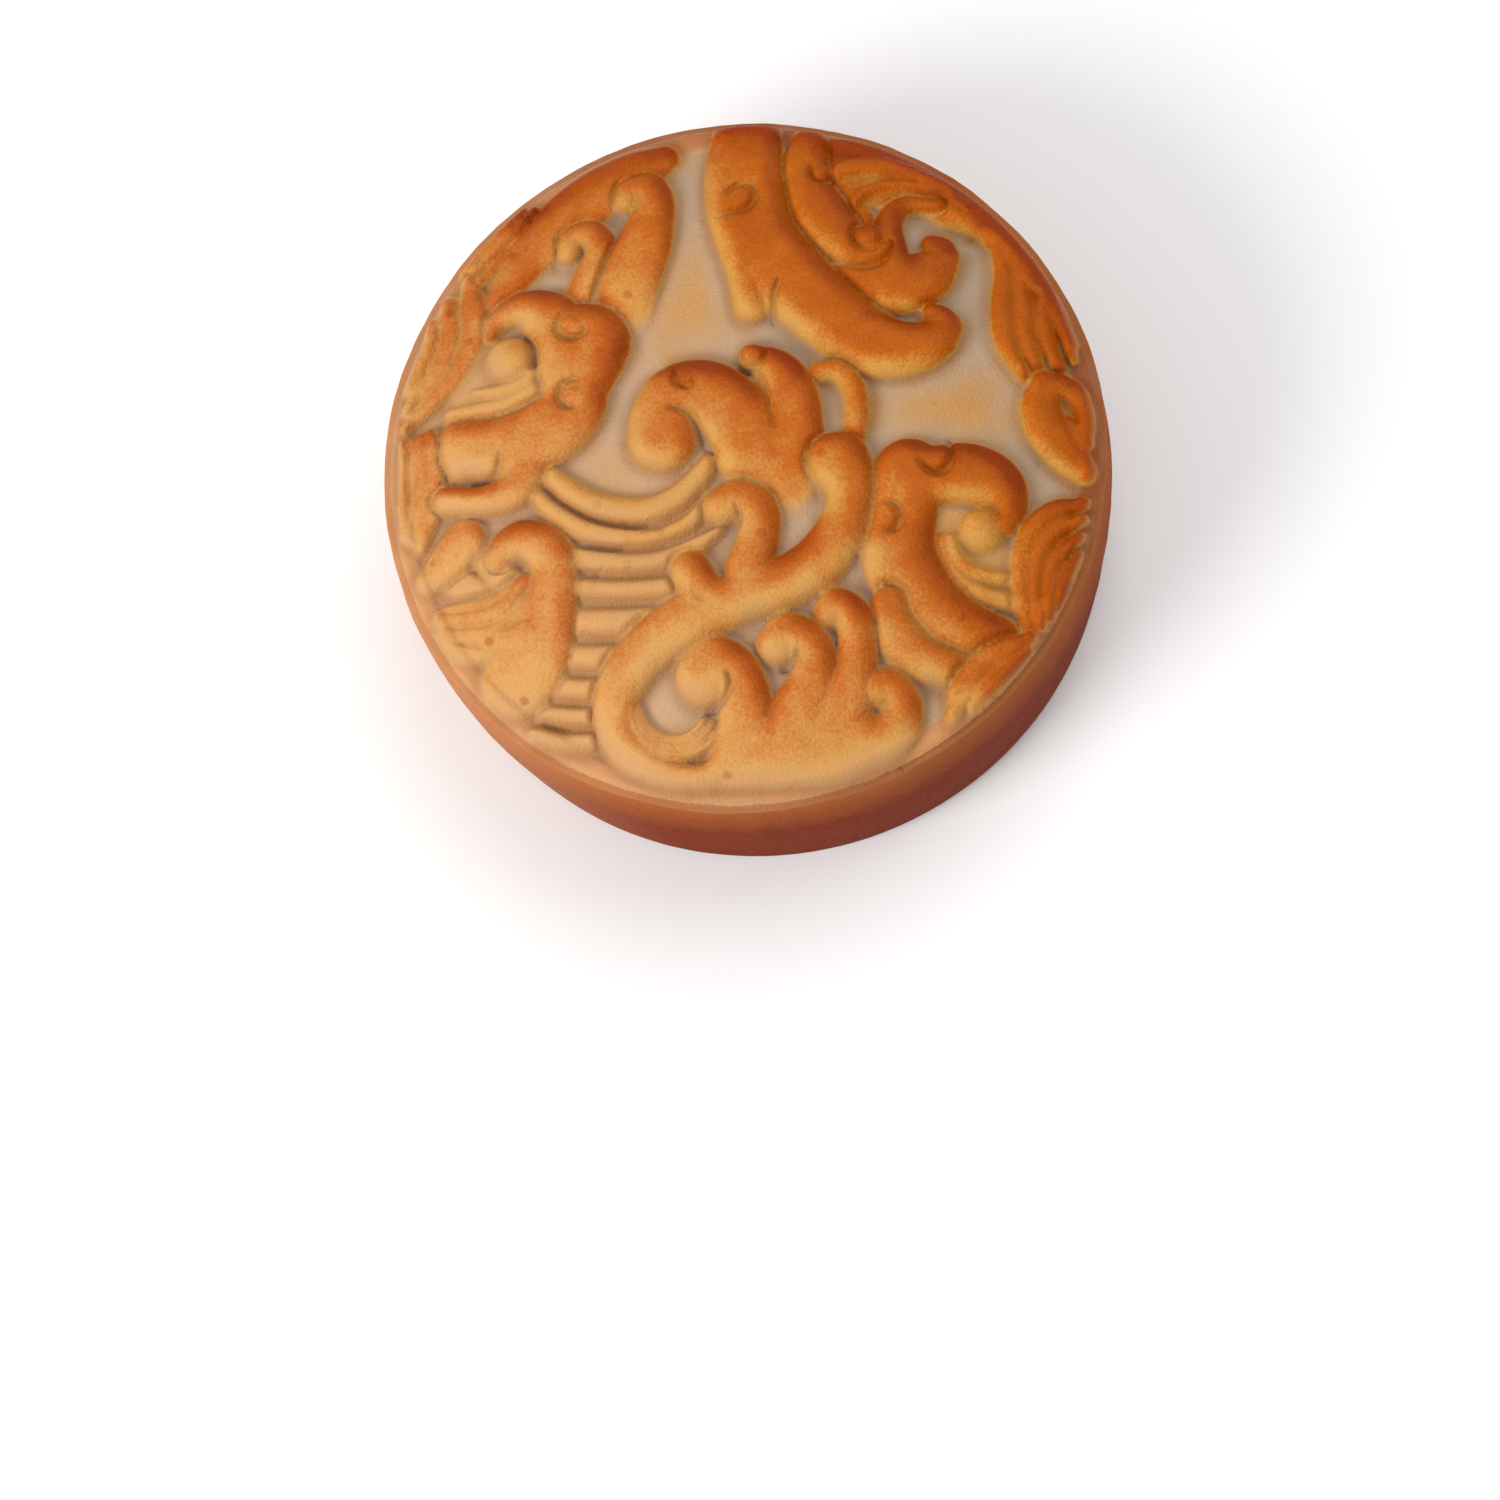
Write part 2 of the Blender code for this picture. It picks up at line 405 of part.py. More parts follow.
def draw_side(bm):
    """Draws the side down from the face's edge and closes the base, leaning by the way."""
    edges = [edge for edge in bm.edges if edge.is_boundary]
    lean = Vector((LEAN_X, LEAN_Y, 0))
    middle = Vector((0, 0, 0))
    for radius, z in side_profile():
        grown = bmesh.ops.extrude_edge_only(bm, edges=edges)["geom"]
        edges = [item for item in grown if isinstance(item, bmesh.types.BMEdge)]
        next_middle = -lean * min(1, (RING_HEIGHT - z) / LEAN_DEPTH)
        for vert in [item for item in grown if isinstance(item, bmesh.types.BMVert)]:
            away = Vector((vert.co.x, vert.co.y, 0)) - middle
            vert.co = away.normalized() * radius + next_middle
            vert.co.z = z
        middle = next_middle
    bmesh.ops.contextual_create(bm, geom=edges)
    bmesh.ops.translate(bm, vec=lean, verts=bm.verts)


def fine_cake():
    """The whole cake as one closed mesh: the face, the side drawn down from it and the base."""
    bm = bmesh.new()
    bmesh.ops.create_grid(bm, x_segments=FACE_SEGMENTS, y_segments=FACE_SEGMENTS, size=1)
    for vert in bm.verts:
        u, v = disc_point(vert.co.x, vert.co.y)
        vert.co.x, vert.co.y = RING_OUTER * u, RING_OUTER * v
    x = np.array([vert.co.x for vert in bm.verts])
    y = np.array([vert.co.y for vert in bm.verts])
    for vert, z in zip(bm.verts, face_point_heights(x, y)):
        vert.co.z = z
    inner = [vert for vert in bm.verts if not vert.is_boundary]
    for _ in range(SOFTENING):
        bmesh.ops.smooth_vert(bm, verts=inner, factor=SOFTENING_SHARE, use_axis_z=True)
    draw_side(bm)
    bmesh.ops.triangulate(bm, faces=bm.faces)
    bmesh.ops.recalc_face_normals(bm, faces=bm.faces)
    bmesh.ops.scale(bm, vec=(MM, MM, MM), verts=bm.verts)
    mesh = bpy.data.meshes.new("mooncake")
    bm.to_mesh(mesh)
    bm.free()
    return mesh


def thinned(obj):
    """The object's mesh with only the triangles that its form needs, standing on its base."""
    thin = obj.modifiers.new("thin", "DECIMATE")
    thin.ratio = TRIANGLES / len(obj.data.polygons)
    bpy.context.view_layer.update()
    shape = obj.evaluated_get(bpy.context.evaluated_depsgraph_get())
    mesh = bpy.data.meshes.new_from_object(shape)
    obj.modifiers.remove(thin)
    points = np.array([vert.co for vert in mesh.vertices])
    low, high = points.min(axis=0), points.max(axis=0)
    middle = (low + high) / 2
    for vert in mesh.vertices:
        vert.co.x -= middle[0]
        vert.co.y -= middle[1]
        if vert.co.z - low[2] < BASE_TOLERANCE * MM:
            vert.co.z = 0
    return mesh


def crust_material():
    """Baked crust, golden brown with a faint egg-wash sheen."""
    material = bpy.data.materials.new("baked crust")
    material.use_nodes = True
    shader = material.node_tree.nodes["Principled BSDF"]
    shader.inputs["Base Color"].default_value = (0.58, 0.24, 0.07, 1)
    shader.inputs["Roughness"].default_value = 0.5
    shader.inputs["Metallic"].default_value = 0.0
    return material


def main():
    for obj in list(bpy.data.objects):
        bpy.data.objects.remove(obj)
    cake = bpy.data.objects.new("mooncake", fine_cake())
    bpy.context.scene.collection.objects.link(cake)
    cake.data = thinned(cake)
    cake.data.materials.append(crust_material())
    cake.data.shade_smooth()
    cake.data.set_sharp_from_angle(angle=math.radians(SHARP_ANGLE))


main()
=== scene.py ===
"""One seaweed mooncake, whole: a low round cake with a moulded face of curling waves.

The file is laid out as an add-on. Its panel lists the operators that build the cake and the
studio round it; run as a script, it calls them in that order.
"""

import math

import bmesh
import bpy
import numpy as np
from mathutils import Matrix, Vector, noise


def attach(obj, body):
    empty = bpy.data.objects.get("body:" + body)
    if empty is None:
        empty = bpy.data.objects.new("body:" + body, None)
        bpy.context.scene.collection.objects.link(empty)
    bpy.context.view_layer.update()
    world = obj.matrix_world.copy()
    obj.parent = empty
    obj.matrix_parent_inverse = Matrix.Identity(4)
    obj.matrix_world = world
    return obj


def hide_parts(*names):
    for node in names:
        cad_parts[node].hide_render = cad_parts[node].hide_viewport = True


bl_info = {
    "name": "Seaweed mooncake",
    "version": (1, 0, 0),
    "blender": (4, 5, 0),
    "location": "3D View > Sidebar > Mooncake",
    "description": "Builds a moulded, baked mooncake and a plain studio round it",
    "category": "Add Mesh",
}

MM = 0.001

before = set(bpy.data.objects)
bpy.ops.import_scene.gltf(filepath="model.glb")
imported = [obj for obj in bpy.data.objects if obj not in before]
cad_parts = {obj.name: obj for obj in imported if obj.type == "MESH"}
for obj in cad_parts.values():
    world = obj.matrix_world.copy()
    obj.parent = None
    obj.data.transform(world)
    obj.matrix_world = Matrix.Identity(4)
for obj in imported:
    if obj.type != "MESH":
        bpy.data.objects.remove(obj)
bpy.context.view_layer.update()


# Sizes and colours that a user may change

def length(name, description, mm):
    """A property that holds a length, given in mm."""
    return bpy.props.FloatProperty(name=name, description=description, default=mm * MM,
                                   unit="LENGTH", precision=5)


def colour(name, description, hex_value):
    """A property that holds a colour, given as an sRGB hex value."""
    return bpy.props.FloatVectorProperty(name=name, description=description, subtype="COLOR",
                                         size=3, min=0, max=1, default=linear(hex_value))


def linear(hex_value):
    """Linear red, green and blue of an sRGB hex value."""
    parts = [int(hex_value[i:i + 2], 16) / 255 for i in (1, 3, 5)]
    return tuple(c / 12.92 if c <= 0.04045 else ((c + 0.055) / 1.055) ** 2.4 for c in parts)


class CakeSizes(bpy.types.PropertyGroup):
    """Sizes of the cake's body, its ring and its domed face."""

    base_radius: length("Base radius", "Radius of the flat base", 35.9)
    widest_radius: length("Widest radius", "Radius where the side bulges most", 38.1)
    widest_height: length("Widest height", "Height where the side bulges most", 18.5)
    corner: length("Base corner", "Radius of the rounded corner at the base", 1.2)
    lip_radius: length("Lip radius", "Radius of the lip under the ring", 37.6)
    lip_height: length("Lip height", "Height of the lip under the ring", 24.8)
    lip_size: length("Lip size", "Half the thickness of the lip", 0.5)
    groove_radius: length("Groove radius", "Radius of the groove under the ring", 36.7)
    ring_outer: length("Ring outer radius", "Outer radius of the raised ring", 36.8)
    ring_inner: length("Ring inner radius", "Inner radius of the raised ring", 35.2)
    ring_height: length("Ring height", "Height of the ring's top", 26.7)
    ring_edge: length("Ring edge", "Rounding of the ring's outer edge", 0.5)
    valley_radius: length("Valley radius", "Radius where the dome meets the ring", 34.8)
    valley_depth: length("Valley depth", "Depth of the valley inside the ring", 0.5)
    face_height: length("Face height", "Height of the dome's middle", 31.6)
    lean_x: length("Lean to the right", "How far the face sits right of the base", 0.4)
    lean_y: length("Lean to the back", "How far the face sits behind the base", -0.95)
    lean_depth: length("Lean depth", "Height over which the body steps back", 4.7)


class CrustColours(bpy.types.PropertyGroup):
    """Colours of the baked crust, from the palest dough to the darkest edge; some also carry
    painted light and shade.
    """

    hollow: colour("Hollow", "Greyish dough in narrow hollows, hardly baked", "#B8A086")
    ground: colour("Ground", "Pale tan ground between the waves", "#C18F58")
    gold: colour("Gold", "Golden flanks of the waves", "#D09642")
    # Orange and brown fall on the backs of the waves: browning, and partly painted shade on the
    # side turned from the key light
    orange: colour("Orange", "Browned backs of the waves", "#BE600C")
    brown: colour("Brown", "Darkest edges of the waves", "#943804")
    # The milky tone is partly painted light: paler dough towards the front left, where the key
    # light comes from
    bloom_and_light: colour("Bloom", "Milky bloom on dough far from the heat", "#D6A270")
    # Painted shade: this colour darkens the creases where shadow falls, with some egg wash
    # pooled and baked dark there
    crease: colour("Crease", "Egg wash baked dark in the creases", "#6A3810")
    ring: colour("Ring", "Pinkish tan of the ring", "#C8824A")
    # The browned ring colour is partly painted shade, towards the upper right, away from the key
    # light
    ring_hot_and_shaded: colour("Browned ring", "Ring where the oven was hottest", "#983E08")
    # Down the side, the pale stretch at the left is partly painted light, and the dark foot,
    # darkest in front, is partly painted shadow
    side_pale: colour("Pale side", "Palest stretch of the side", "#CA8A5C")
    side_top: colour("Side under the ring", "Orange tan of the side's upper part", "#A8581E")
    side_foot: colour("Foot of the side", "Brown of the side near the base", "#782800")
    freckle: colour("Freckle", "Small browned blisters", "#A8480A")


class StudioLook(bpy.types.PropertyGroup):
    """The plain studio round the cake."""

    floor: colour("Floor", "Colour of the floor", "#FFFFFF")
    key: bpy.props.FloatProperty(name="Key light", description="Power of the main soft light",
                                 default=3.1, unit="POWER")
    fill: bpy.props.FloatProperty(name="Fill light", description="Power of the soft top light",
                                  default=1.9, unit="POWER")
    sky: bpy.props.FloatProperty(name="Surrounding light", description="Strength of the world",
                                 default=0.5)


# Strokes: each is a list of (x, y, half width, share of the height) along its middle line, mm

# Points from one knot to the next, degrees between an arc's points and a boss's length, mm
SPINE_STEPS = 5
ARC_STEP = 12
BOSS_LENGTH = 0.1


def spine(*points):
    """A smooth line through a few points, each (x, y, half width) or with a height share."""
    knots = np.array([tuple(p) + (1.0,) * (4 - len(p)) for p in points])
    if len(knots) == 2:
        return knots
    ends = np.vstack([2 * knots[0] - knots[1], knots, 2 * knots[-1] - knots[-2]])
    step = np.linspace(0, 1, SPINE_STEPS, endpoint=False)[:, None]
    line = []
    for a, b, c, d in zip(ends, ends[1:], ends[2:], ends[3:]):
        bend = 2 * a - 5 * b + 4 * c - d
        line.append(0.5 * (2 * b + (c - a) * step + bend * step ** 2
                           + (3 * b - a - 3 * c + d) * step ** 3))
    return np.vstack(line + [knots[-1:]])


def arc(x, y, radius, start, end, width, tip):
    """A round stretch from one angle to another in degrees, widest in the middle."""
    share = np.linspace(0, 1, max(4, round(abs(end - start) / ARC_STEP)))
    angle = np.radians(start + (end - start) * share)
    half = tip + (width - tip) * np.sin(math.pi * share)
    return np.column_stack([x + radius * np.cos(angle), y + radius * np.sin(angle),
                            half, np.ones_like(share)])


def ball(x, y, radius):
    """A round boss."""
    return np.array([(x, y, radius, 1.0), (x + BOSS_LENGTH, y, radius, 1.0)])


def nest(first, last, count):
    """Strokes side by side, from the first one to the last."""
    first, last = spine(*first), spine(*last)
    return [first + (last - first) * share for share in np.linspace(0, 1, count)]


# Forms of the relief, the lowest first: name, how it meets what lies below it, height and
# width of its rounded edge in mm, how far it browned, 1 for a full wave, and its strokes.
# "rise" joins at the greater height, "over" lies on top with a crease, "cut" is pressed in.

def relief_forms():
    """All forms of the moulded relief, in the order in which they are laid."""
    return [
        ("upper left back wave", "rise", 1.5, 2.2, 1.0, [
            spine((-9, 33, 1.8), (-12.5, 31, 3.1), (-16.5, 28.4, 3.4), (-20.2, 25, 3.3),
                  (-22.9, 21.4, 2.7), (-25.7, 17.3, 1.9))]),
        ("upper left rim leaf", "rise", 1.9, 0.9, 1.05, nest(
            [(-21.3, 27.4, 0.5), (-23.2, 24.5, 0.7), (-25.8, 21.4, 0.7), (-28.5, 18.8, 0.5)],
            [(-23.6, 27.6, 0.5), (-25.7, 25.1, 0.7), (-28, 22.6, 0.7), (-30, 20.4, 0.5)],
            3)),
        ("left leaf bed", "rise", 0.9, 1.0, 0.9, [
            spine((-31, 17.2, 1.2), (-30.8, 13, 2.8), (-32.4, 8.4, 2.2), (-34.6, 4.8, 0.9))]),
        ("left rim leaf", "rise", 1.6, 1.0, 1.05, [
            spine((-29.3, 19.4, 0.8), (-28.5, 16.4, 1.6), (-28.2, 12.8, 1.5),
                  (-29.5, 9.5, 1.3), (-32.2, 6.3, 1.1), (-35.3, 3.4, 0.5)),
            spine((-31.3, 17.1, 0.9), (-30.9, 14, 1.3), (-31.4, 11, 1.3), (-33.1, 8, 1.2),
                  (-35.2, 5.2, 0.7)),
            spine((-33, 14.9, 0.8), (-32.9, 12.5, 1.1), (-33.9, 10, 1.1), (-35.1, 7.6, 0.8))]),
        ("left streak bed", "rise", 0.9, 1.0, 0.9, [
            spine((-33.6, 1.4, 1.3), (-33.3, -3.2, 2.3), (-33.8, -7.8, 1.2))]),
        ("left rim streaks", "rise", 1.5, 0.8, 1.05, nest(
            [(-32.4, 2.6, 0.7), (-31.7, -0.4, 0.9), (-31.4, -3.2, 0.9), (-31.7, -6.4, 0.9),
             (-33, -9.8, 0.6)],
            [(-35.4, 1.8, 0.5), (-35, -0.9, 0.8), (-34.9, -3.5, 0.8), (-34.9, -6.1, 0.8),
             (-34.8, -8.6, 0.5)], 4)),
        ("basin ripple", "rise", 1.6, 1.7, 0.35, [
            spine((-20.2, -1.9, 0.8), (-18.4, -4.2, 1.4), (-14.2, -6.8, 1.6),
                  (-9, -7.5, 1.7), (-5.8, -6.1, 1.6), (-3.6, -3.7, 1.3), (-2.3, -1.4, 0.7))]),
        ("outer ripple", "rise", 1.5, 1.4, 0.35, [
            spine((-21.3, -4.2, 0.6), (-19, -7, 1.1), (-14.5, -9.6, 1.3), (-9, -10.4, 1.2),
                  (-5, -9, 1.1), (-3.2, -7, 0.7))]),
        ("level ripples", "rise", 1.6, 1.9, 0.15, [
            spine((-16.6, -11.9, 1), (-12.5, -12.9, 1.5), (-8, -12.8, 1.5), (-4.2, -11.4, 1.2),
                  (-1.6, -9.8, 0.6)),
            spine((-15.2, -15.3, 1.1), (-10.8, -15.6, 1.4), (-6.2, -15.4, 1.4),
                  (-2.6, -14.5, 1)),
            spine((-16.1, -18.7, 1.5), (-12.4, -18.9, 1.8), (-7.5, -18.7, 1.9)),
            spine((-16.5, -22.1, 1.4), (-13.5, -22.4, 1.6), (-10.6, -22.3, 1.7)),
            spine((-17.8, -25.1, 1.3), (-14.5, -25.5, 1.5), (-11.6, -25.4, 1.5)),
            spine((-19.6, -27.5, 1), (-16.4, -28, 1.3), (-13.2, -28, 1.3)),
            spine((-20.6, -29.5, 0.7), (-17.8, -30.2, 1), (-14.8, -30.4, 1.1))]),
        ("ripple creases", "cut", 0.8, 0.4, 0.35, [
            spine((-20.4, -3.3, 0.2), (-18.6, -5.7, 0.4), (-14.3, -8.3, 0.45), (-9, -9.1, 0.45),
                  (-5.4, -7.7, 0.4), (-3.3, -5.5, 0.2)),
            spine((-18.5, -9, 0.2), (-16.6, -10.5, 0.4), (-12.5, -11.4, 0.45),
                  (-8.5, -11.5, 0.45), (-4.6, -10.2, 0.4), (-2.6, -8.6, 0.2)),
            spine((-16.5, -13.6, 0.4), (-12, -14.3, 0.45), (-7, -14.1, 0.45), (-3, -12.8, 0.3)),
            spine((-16.5, -16.7, 0.4), (-11.5, -17.1, 0.45), (-6, -17, 0.4)),
            spine((-17, -20.3, 0.4), (-13, -20.7, 0.45), (-9, -20.6, 0.4)),
            spine((-18, -23.5, 0.4), (-15, -24, 0.45), (-12, -23.9, 0.4)),
            spine((-19.3, -26.2, 0.4), (-16, -26.8, 0.45), (-13, -26.8, 0.4)),
            spine((-20.3, -28.4, 0.3), (-17.2, -29.2, 0.4), (-13.5, -29.3, 0.4))]),
        ("low left balls", "rise", 1.6, 1.6, 0.4, [
            spine((-29.2, -13.5, 1.7), (-26.7, -15.1, 1.8)),
            spine((-25.7, -11.8, 1.5), (-23.6, -14, 1.7))]),
        ("low left back curl", "over", 1.7, 1.7, 0.9, [
            spine((-28.2, -9.4, 2.5), (-30, -11.4, 2.4), (-31.9, -13.2, 1.6))]),
        ("low left wave", "over", 2.0, 2.1, 1.0, [
            spine((-24.4, -11.8, 1.5), (-23.6, -10.6, 2), (-21.7, -9.9, 2.3),
                  (-19.2, -11.3, 2.6), (-18.5, -14.5, 2.6), (-19.4, -18.5, 3.3),
                  (-21, -21.8, 4.4, 0.85), (-22.2, -23.8, 4.2, 0.7)),
            spine((-22.8, -16.4, 2.2, 0.8), (-26, -19, 3, 0.7), (-28.6, -19.2, 2.8, 0.5)),
            spine((-21.8, -14.5, 1.2, 0.8), (-24.5, -16.5, 1.6, 0.7), (-30, -17.2, 1.6, 0.5))]),
        ("upper left curl", "over", 1.9, 1.5, 0.9, [
            spine((-18.5, 21.6, 1.3), (-18.2, 23.6, 1.5), (-16.2, 23.9, 1.8),
                  (-14.8, 21.8, 1.9), (-15.4, 19.3, 2.2, 0.9), (-16.4, 16.6, 2.4, 0.5))]),
        ("upper left front curl", "over", 2.0, 1.8, 0.9, [
            spine((-12.7, 27.6, 1.4), (-12.4, 29.2, 1.6), (-10.6, 29.3, 2.1),
                  (-9.6, 26.8, 2.3), (-10.4, 22.3, 3.1), (-11.6, 18, 3.4, 0.8),
                  (-12.4, 14.4, 3.5, 0.2))]),
        ("left eye bed", "rise", 0.6, 1.8, 0.5, [
            spine((-27.6, 12.5, 2), (-27, 8, 3.5), (-27.5, 4, 3.5))]),
        ("left eye", "rise", 2.4, 2.6, 0.45, [ball(-24.2, 9.8, 2.7)]),
        ("left ledges", "rise", 1.4, 1.2, 0.5, [
            spine((-27.6, 6.4, 0.6), (-25, 6.3, 1), (-22.5, 7.1, 1), (-20.8, 8.7, 0.8)),
            spine((-30.2, 4.3, 1), (-27.3, 4.4, 1.2), (-24.3, 4.8, 1.2), (-21.3, 6.2, 1.1))]),
        ("left wave", "over", 2.1, 2.1, 1.0, [
            spine((-26.2, 12.6, 0.7), (-25.5, 14.5, 1.5), (-22.8, 15.6, 2.2),
                  (-19.8, 13.9, 3.2), (-18.4, 10.5, 3.2)),
            spine((-16.3, 10.5, 5.2), (-16.8, 6.2, 3.8), (-17.4, 3.4, 3.8), (-20, 1.3, 3.9),
                  (-24.5, 0.2, 3.5), (-28.2, 0.3, 3.3)),
            spine((-29.7, 2, 1.7), (-28.8, -1.2, 2)),
            spine((-22, 0, 2.4), (-21.7, -2.5, 2.3), (-23.2, -4.6, 2.2), (-26.5, -5.4, 1.8),
                  (-30.3, -5, 1.7))]),
        ("right rim leaf", "rise", 1.7, 1.0, 0.95, [
            spine((26, 22.4, 0.8), (26.9, 19, 1.2), (26.7, 15.1, 1.3), (27.1, 11.3, 1.3),
                  (28.9, 7.6, 0.8)),
            spine((28.3, 19.8, 0.7), (28.9, 15.5, 1.2), (29.2, 11.6, 1.2), (30.5, 8.2, 0.8)),
            spine((30.6, 17.3, 0.7), (31, 13.7, 1.2), (31.6, 10.8, 1.1), (32.6, 8.8, 0.7)),
            spine((32.2, 15.6, 0.4), (33, 12.8, 0.8), (34.1, 9.8, 0.5))]),
        ("right shell", "over", 1.7, 1.4, 0.9, [
            spine((31.3, 6.6, 1.9), (30.7, 4, 2.2), (31.6, 1.4, 2.4), (33.4, -0.8, 2.2),
                  (35, -2.3, 1.5)),
            spine((32.6, 7, 1.5), (34, 6, 1.5), (34.6, 3.6, 1.6), (34.8, 1, 1.4))]),
        ("upper right rim", "rise", 1.2, 1.2, 1.3, [
            spine((6.5, 34, 1.4), (12.2, 32.9, 2.2), (17.2, 30.8, 2.4), (21.1, 28.3, 2.4),
                  (24.3, 25.6, 2.2), (27.8, 21.7, 1.8), (31.1, 17, 1.4),
                  (33.8, 11.5, 0.8))]),
        ("crest bed", "rise", 1.0, 1.2, 0.8, [
            spine((8.8, 30.5, 3), (13.2, 29.5, 3), (18.5, 28, 2.6), (23.5, 25, 1.8)),
            spine((9, 28, 3), (11.6, 24.6, 2.2))]),
        ("crest bands", "rise", 1.9, 0.9, 0.9, [
            spine((10.8, 24.2, 0.7), (11.5, 26.9, 0.9), (13.4, 28.6, 0.9), (16.3, 29.3, 0.9),
                  (19.8, 28.7, 0.8), (23, 26.9, 0.5)),
            spine((8.7, 29.4, 0.9), (10.2, 31, 1.3), (12.7, 31.7, 1.3), (16, 31, 1.1),
                  (19.2, 29.9, 0.7), (22, 28.5, 0.4))]),
        ("crest arc", "rise", 1.8, 1.2, 0.9, [
            spine((15.1, 21.5, 0.9), (14.6, 24.6, 1.3), (16.3, 26.9, 1.4), (19.8, 26.9, 1.4),
                  (23.3, 25.1, 1.3), (26.7, 22.1, 1), (30.4, 17, 0.5))]),
        ("second crest", "over", 2.0, 1.9, 1.0, [
            spine((8.9, 19.6, 1.2), (12, 17.6, 2.5), (15.5, 16.9, 3.4), (18.5, 18, 3.2),
                  (20.6, 20.2, 1.8), (20.6, 21.7, 1.4), (19.5, 22.1, 1.3)),
            spine((15.6, 19.2, 2), (15.2, 22, 1.7), (15, 24.6, 1.5, 0.95),
                  (16.5, 26.7, 1.3, 0.9), (19.8, 26.9, 1.1, 0.9))]),
        ("first crest", "over", 2.0, 1.9, 1.0, [
            spine((6.3, 34.2, 2.2), (5.9, 31.1, 2.8), (6.4, 28.1, 3), (8.1, 25, 3.2),
                  (10.2, 22.2, 2.8), (12.3, 20.5, 1.8), (14, 20.5, 1.2), (14.9, 21.4, 0.7))]),
        ("long wave", "over", 2.2, 2.3, 1.0, [
            spine((-0.2, 35, 3.8), (-0.4, 31.5, 4.2), (0.1, 27, 4.4), (1.4, 22.5, 4.4),
                  (3.8, 19, 4.4), (7.1, 15.4, 4.3), (11.4, 11.8, 3.9), (15.6, 9.8, 3.5),
                  (19.3, 10.5, 2.7), (21.2, 12.4, 1.6), (20.7, 13.6, 1.3), (19.7, 13.9, 1.2)),
            spine((0.6, 21.5, 3.4), (0.6, 18.3, 2.3), (1.2, 14.6, 2.1))]),
        ("right eye bed", "rise", 0.6, 1.8, 0.5, [
            spine((23.5, -8, 4), (24, -12, 4), (27, -14, 3))]),
        ("right pocket steps", "rise", 1.6, 0.9, 0.5, nest(
            [(20.4, -10.6, 1), (21.2, -13, 1.1), (22.8, -14.8, 1.1), (25, -15.9, 1.1),
             (27.6, -16.3, 1)],
            [(21.8, -10.4, 0.8), (22.4, -12.2, 0.9), (23.6, -13.4, 0.9), (25.4, -14, 0.9),
             (27.6, -14.2, 0.8)], 2)),
        ("right wave", "over", 2.1, 2.2, 1.0, [
            spine((17.6, -3.6, 3.8), (17.1, -7, 3.6), (16.5, -10.5, 3.8), (16.9, -13.3, 4),
                  (19.3, -16.6, 3.5), (22.4, -19, 3.1), (26.2, -20, 2.5)),
            spine((20.8, -3.7, 3.3), (23.7, -3.5, 3.4), (26.2, -4.4, 3), (27.7, -6.4, 1.8),
                  (27.3, -8.6, 1.2))]),
        ("right eye", "rise", 2.5, 2.4, 0.5, [ball(24.7, -9.4, 2.4)]),
        ("right lip", "over", 2.0, 1.7, 0.9, [
            spine((15.7, -17.3, 2.1), (15.7, -18.8, 2.4), (17, -21, 2.5), (19.3, -22.6, 2.3),
                  (22.6, -23.5, 1.9))]),
        ("right shell fan", "over", 1.7, 1.0, 0.95, nest(
            [(35, -5.6, 0.8), (32.4, -6.5, 1.2), (30.3, -8.4, 1.3), (29.1, -10.9, 1.3),
             (28.7, -13.7, 1.2), (29, -16.8, 1.1), (29.8, -19.6, 0.7)],
            [(34.7, -11, 0.4), (34.1, -11.9, 0.6), (33.6, -12.8, 0.7), (33.3, -13.6, 0.8),
             (33, -14.6, 0.8), (32.8, -15.6, 0.7), (32.7, -16.7, 0.5)], 4)),
        ("low right leaf", "over", 1.7, 1.1, 0.9, [
            spine((21.8, -27.8, 0.9), (22.8, -25.4, 1.4), (24.5, -23.3, 1.5),
                  (26.9, -21.3, 1.4), (29.6, -19.9, 0.8)),
            spine((23.9, -27.2, 0.6), (25.5, -25.3, 1), (27.5, -23.3, 1), (29.7, -21.5, 0.7)),
            spine((25.9, -26.5, 0.5), (27.5, -24.9, 0.7), (29.5, -22.9, 0.6))]),
        ("centre finger", "over", 1.7, 1.2, 0.7, [
            spine((8, 7.1, 1.2), (9.9, 7.4, 1.3), (11.6, 5.8, 1.4), (12.2, 3.1, 1.4),
                  (11.9, 0.2, 1.3))]),
        ("centre lobes", "over", 2.1, 2.2, 1.0, [
            spine((1.6, 9, 1.3), (3.8, 7.3, 2.5), (5.2, 4.6, 3.2), (5.4, 1, 3.6, 0.95),
                  (5.4, -2.4, 3.9, 0.7), (5, -6, 3, 0.1)),
            spine((-7.6, 0.4, 3.8), (-7.6, 2.7, 3.6), (-6, 4.6, 3.8), (-3.2, 4.7, 4),
                  (-0.4, 2.4, 4.1), (1.6, -1.2, 4, 0.9), (3, -5, 3.2, 0.2))]),
        ("great arm and low waves", "over", 2.2, 2.1, 0.85, [
            spine((10.4, -2.6, 3.4), (11.3, -4.6, 2.8), (11.5, -6.7, 2.5), (10.8, -9.6, 2.7),
                  (8.4, -13.1, 2.9), (4.7, -15.3, 2.8), (0.2, -16.8, 2.8), (-4.3, -18.8, 3.1),
                  (-8.6, -21.5, 2.8), (-11.5, -25.2, 2.6), (-12.1, -28.5, 2.4),
                  (-10.9, -31.2, 2.1), (-8.2, -33.2, 1.6), (-5, -34.1, 1.3),
                  (-2, -34, 1.4)),
            spine((-1.4, -7.2, 2.1), (0.2, -6.3, 2.2), (2.1, -7.6, 2.4), (2.4, -10.4, 2.3),
                  (1.4, -13.6, 2.5)),
            spine((-4.4, -13.9, 2.3), (-3.3, -16, 2.4)),
